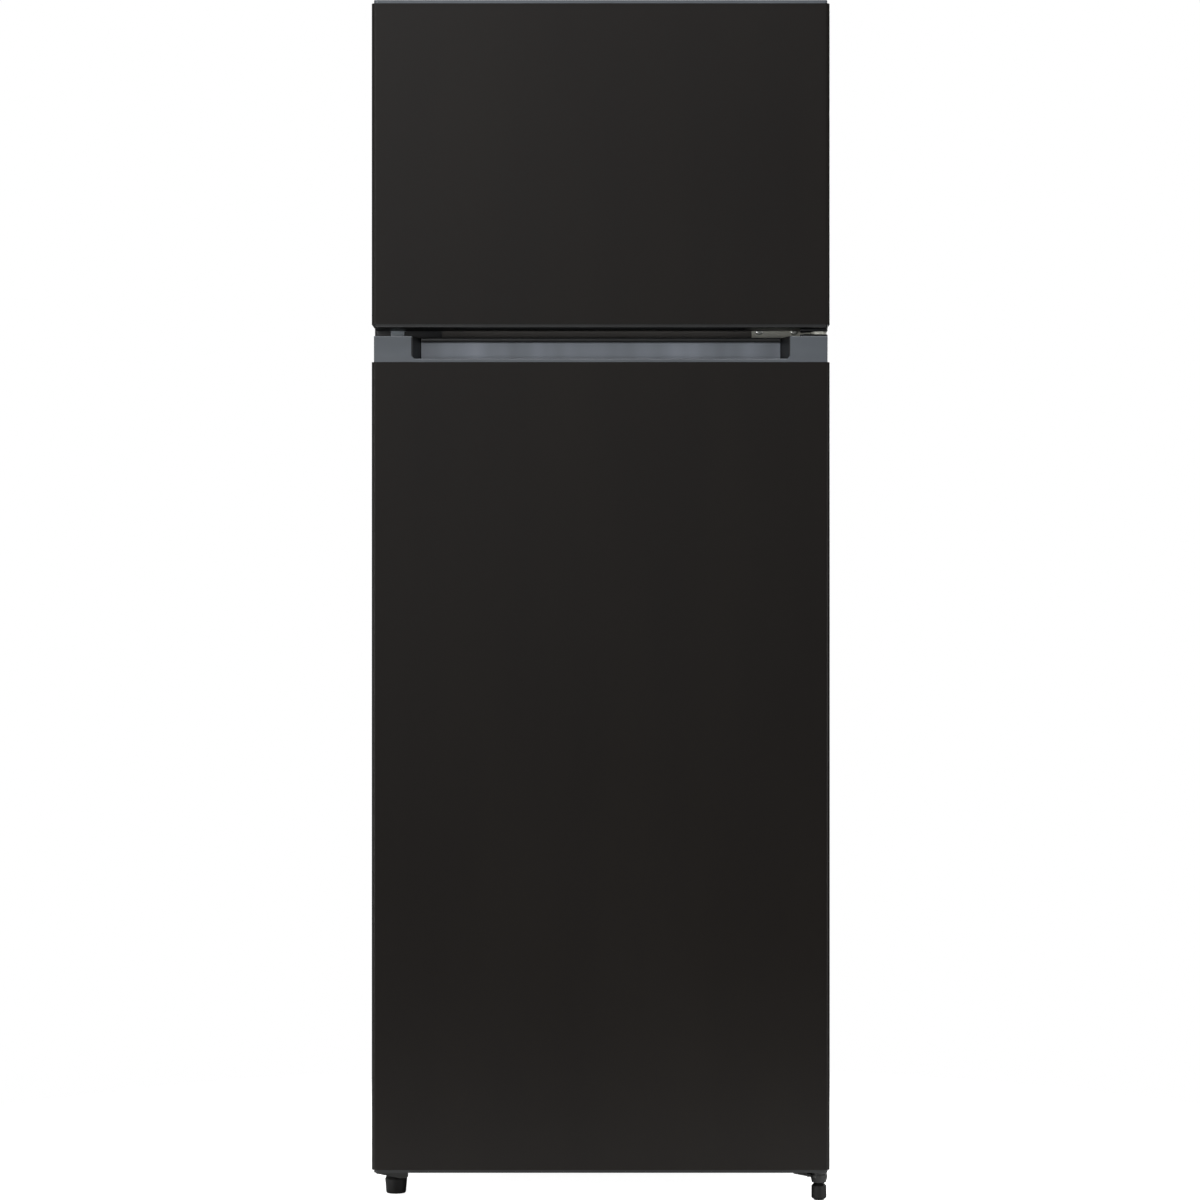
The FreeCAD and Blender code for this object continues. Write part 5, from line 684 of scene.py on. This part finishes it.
weld_round, weld_thick, weld_flat, weld_step = 0.054, 0.0011, 0.8, 0.002
corner_steps, weld_sides, flank = 12, 8, 0.0001
can_low, can_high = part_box("compressor")
seam = [vertex.co.z for vertex in nodes["compressor"].data.vertices
        if vertex.co.x > can_high.x - flank]
weld_level = (min(seam) + max(seam)) / 2
track = []
for corner_x, corner_y, start in ((can_high.x, can_high.y, 0), (can_low.x, can_high.y, 90),
                                  (can_low.x, can_low.y, 180), (can_high.x, can_low.y, 270)):
    hub = Vector((corner_x - weld_round if corner_x > can_low.x else corner_x + weld_round,
                  corner_y - weld_round if corner_y > can_low.y else corner_y + weld_round))
    for step in range(corner_steps + 1):
        turn = math.radians(start + 90 * step / corner_steps)
        track.append((hub, Vector((math.cos(turn), math.sin(turn)))))
route = []
for (hub, out), (next_hub, next_out) in zip(track, track[1:] + track[:1]):
    first, second = hub + out * weld_round, next_hub + next_out * weld_round
    pieces = max(1, round((second - first).length / weld_step))
    route += [(first.lerp(second, piece / pieces), out.lerp(next_out, piece / pieces))
              for piece in range(pieces)]
form = bmesh.new()
rings = []
for number, (spot, out) in enumerate(route):
    thick = weld_thick * (1 + 0.16 * math.sin(number * 1.9))
    ring = []
    for side in range(weld_sides):
        turn = math.tau * side / weld_sides
        proud = thick * weld_flat * math.cos(turn)
        ring.append(form.verts.new((spot.x + out.x * proud, spot.y + out.y * proud,
                                    weld_level + thick * math.sin(turn))))
    rings.append(ring)
between(form, rings, joined=True)
bmesh.ops.recalc_face_normals(form, faces=form.faces)
shape("can_weld", form, can_paint.material, "cabinet", smooth_below=60)

grommet = Finish("grommet_rubber", "1b1b1b", 0.75)
grommet.colour(grommet.clouds(120), "171717", "222222")
dress(grommet.material, "compressor_mounts")

copper = Finish("copper", "a87352", 0.32, metal=1.0)
copper.colour(copper.clouds(45), "946345", "b98562")
copper.rough(copper.clouds(90), 0.3, 0.45)
dress(copper.material, "refrigerant_tubes", "filter_drier")


# ---------------------------------------------------------------- relay cover clip
# A strap of spring steel runs over the end of the relay cover, and its bent end snaps under the
# cover, which comes off without a tool.
clip_start, clip_half, clip_thick, clip_round = 0.1345, 0.005, 0.0007, 0.006
relay_low, relay_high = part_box("relay_cover")
middle_y = (relay_low.y + relay_high.y) / 2
path = [(clip_start, relay_high.z), (relay_high.x - clip_round, relay_high.z)]
for step in range(1, 6):
    turn = math.radians(90 - 18 * step)
    path.append((relay_high.x - clip_round * (1 - math.cos(turn)),
                 relay_high.z - clip_round * (1 - math.sin(turn))))
path += [(relay_high.x, relay_low.z), (relay_high.x - 0.003, relay_low.z - 0.002),
         (relay_high.x - 0.009, relay_low.z - 0.0004)]
form = bmesh.new()
rings = []
for place, (x, z) in enumerate(path):
    before, later = Vector(path[max(0, place - 1)]), Vector(path[min(len(path) - 1, place + 1)])
    along = (later - before).normalized()
    lift_x, lift_z = -along.y * clip_thick, along.x * clip_thick
    rings.append([form.verts.new(spot) for spot in (
        (x, middle_y - clip_half, z), (x, middle_y + clip_half, z),
        (x + lift_x, middle_y + clip_half, z + lift_z),
        (x + lift_x, middle_y - clip_half, z + lift_z))])
lidded(form, rings)
spring = Finish("spring_steel", "a9acae", 0.3, metal=0.9)
spring.colour(spring.clouds(120, (1, 1, 4)), "9fa2a4", "b3b6b8")
shape("relay_clip", form, spring.material, "cabinet", smooth_below=30)


# ---------------------------------------------------------------- condenser
# A steel serpentine with upright wires spot welded to both sides of it, the whole panel dipped in
# black paint, which gathers as small beads over the welds.
condenser_paint = Finish("condenser_paint", "151515", 0.36)
condenser_paint.colour(condenser_paint.clouds(35), "121212", "1b1b1a")
condenser_paint.relief(condenser_paint.clouds(300), 0.00005)
dress(condenser_paint.material, "condenser_tube", "condenser_wires")


def drops(name, spots, size, material, body):
    """Many small rounded drops, such as weld beads, in one piece."""
    drop = bmesh.new()
    bmesh.ops.create_icosphere(drop, subdivisions=1, radius=1)
    bmesh.ops.recalc_face_normals(drop, faces=drop.faces)
    drop.verts.index_update()
    corners = [vertex.co.copy() for vertex in drop.verts]
    faces = [[vertex.index for vertex in face.verts] for face in drop.faces]
    drop.free()
    form = bmesh.new()
    for spot in spots:
        made = [form.verts.new([spot[axis] + corner[axis] * size[axis] for axis in range(3)])
                for corner in corners]
        for face in faces:
            form.faces.new([made[place] for place in face])
    shape(name, form, material, body, smooth_below=80)


tube_y, tube_radius = 0.2734, 0.0025
tube_low, tube_step, tube_count = 0.330, 0.072, 13
wire_step, wire_count = 0.013, 30
bead_size, bead_lift = (0.0014, 0.0009, 0.0017), 0.0002
levels = [tube_low + tube_step * number for number in range(tube_count)]
wires_x = [wire_step * (number - (wire_count - 1) / 2) for number in range(wire_count)]
drops("condenser_welds", [(x, tube_y + side * (tube_radius + bead_lift), level)
                          for side in (-1, 1) for level in levels for x in wires_x],
      bead_size, condenser_paint.material, "cabinet")

# ---------------------------------------------------------------- condenser bracket screws
# Each of the four brackets that carry the condenser is held to the back panel by two small screws,
# one above the tube that it carries and one below.
bracket_head = {"radius": 0.0032, "high": 0.0017, "shank": 0.0016, "depth": 0.0012}
bracket_x, bracket_face, bracket_rise = 0.1665, 0.2490, 0.0085
bracket_spots = [(side * bracket_x, level + rise) for side in (-1, 1)
                 for level in (levels[1], levels[-2]) for rise in (-bracket_rise, bracket_rise)]
for number, (x, z) in enumerate(bracket_spots):
    screw(f"bracket_screw_{number}", (x, bracket_face, z), (0, 1, 0), **bracket_head,
          material=screw_steel.material, body="cabinet")
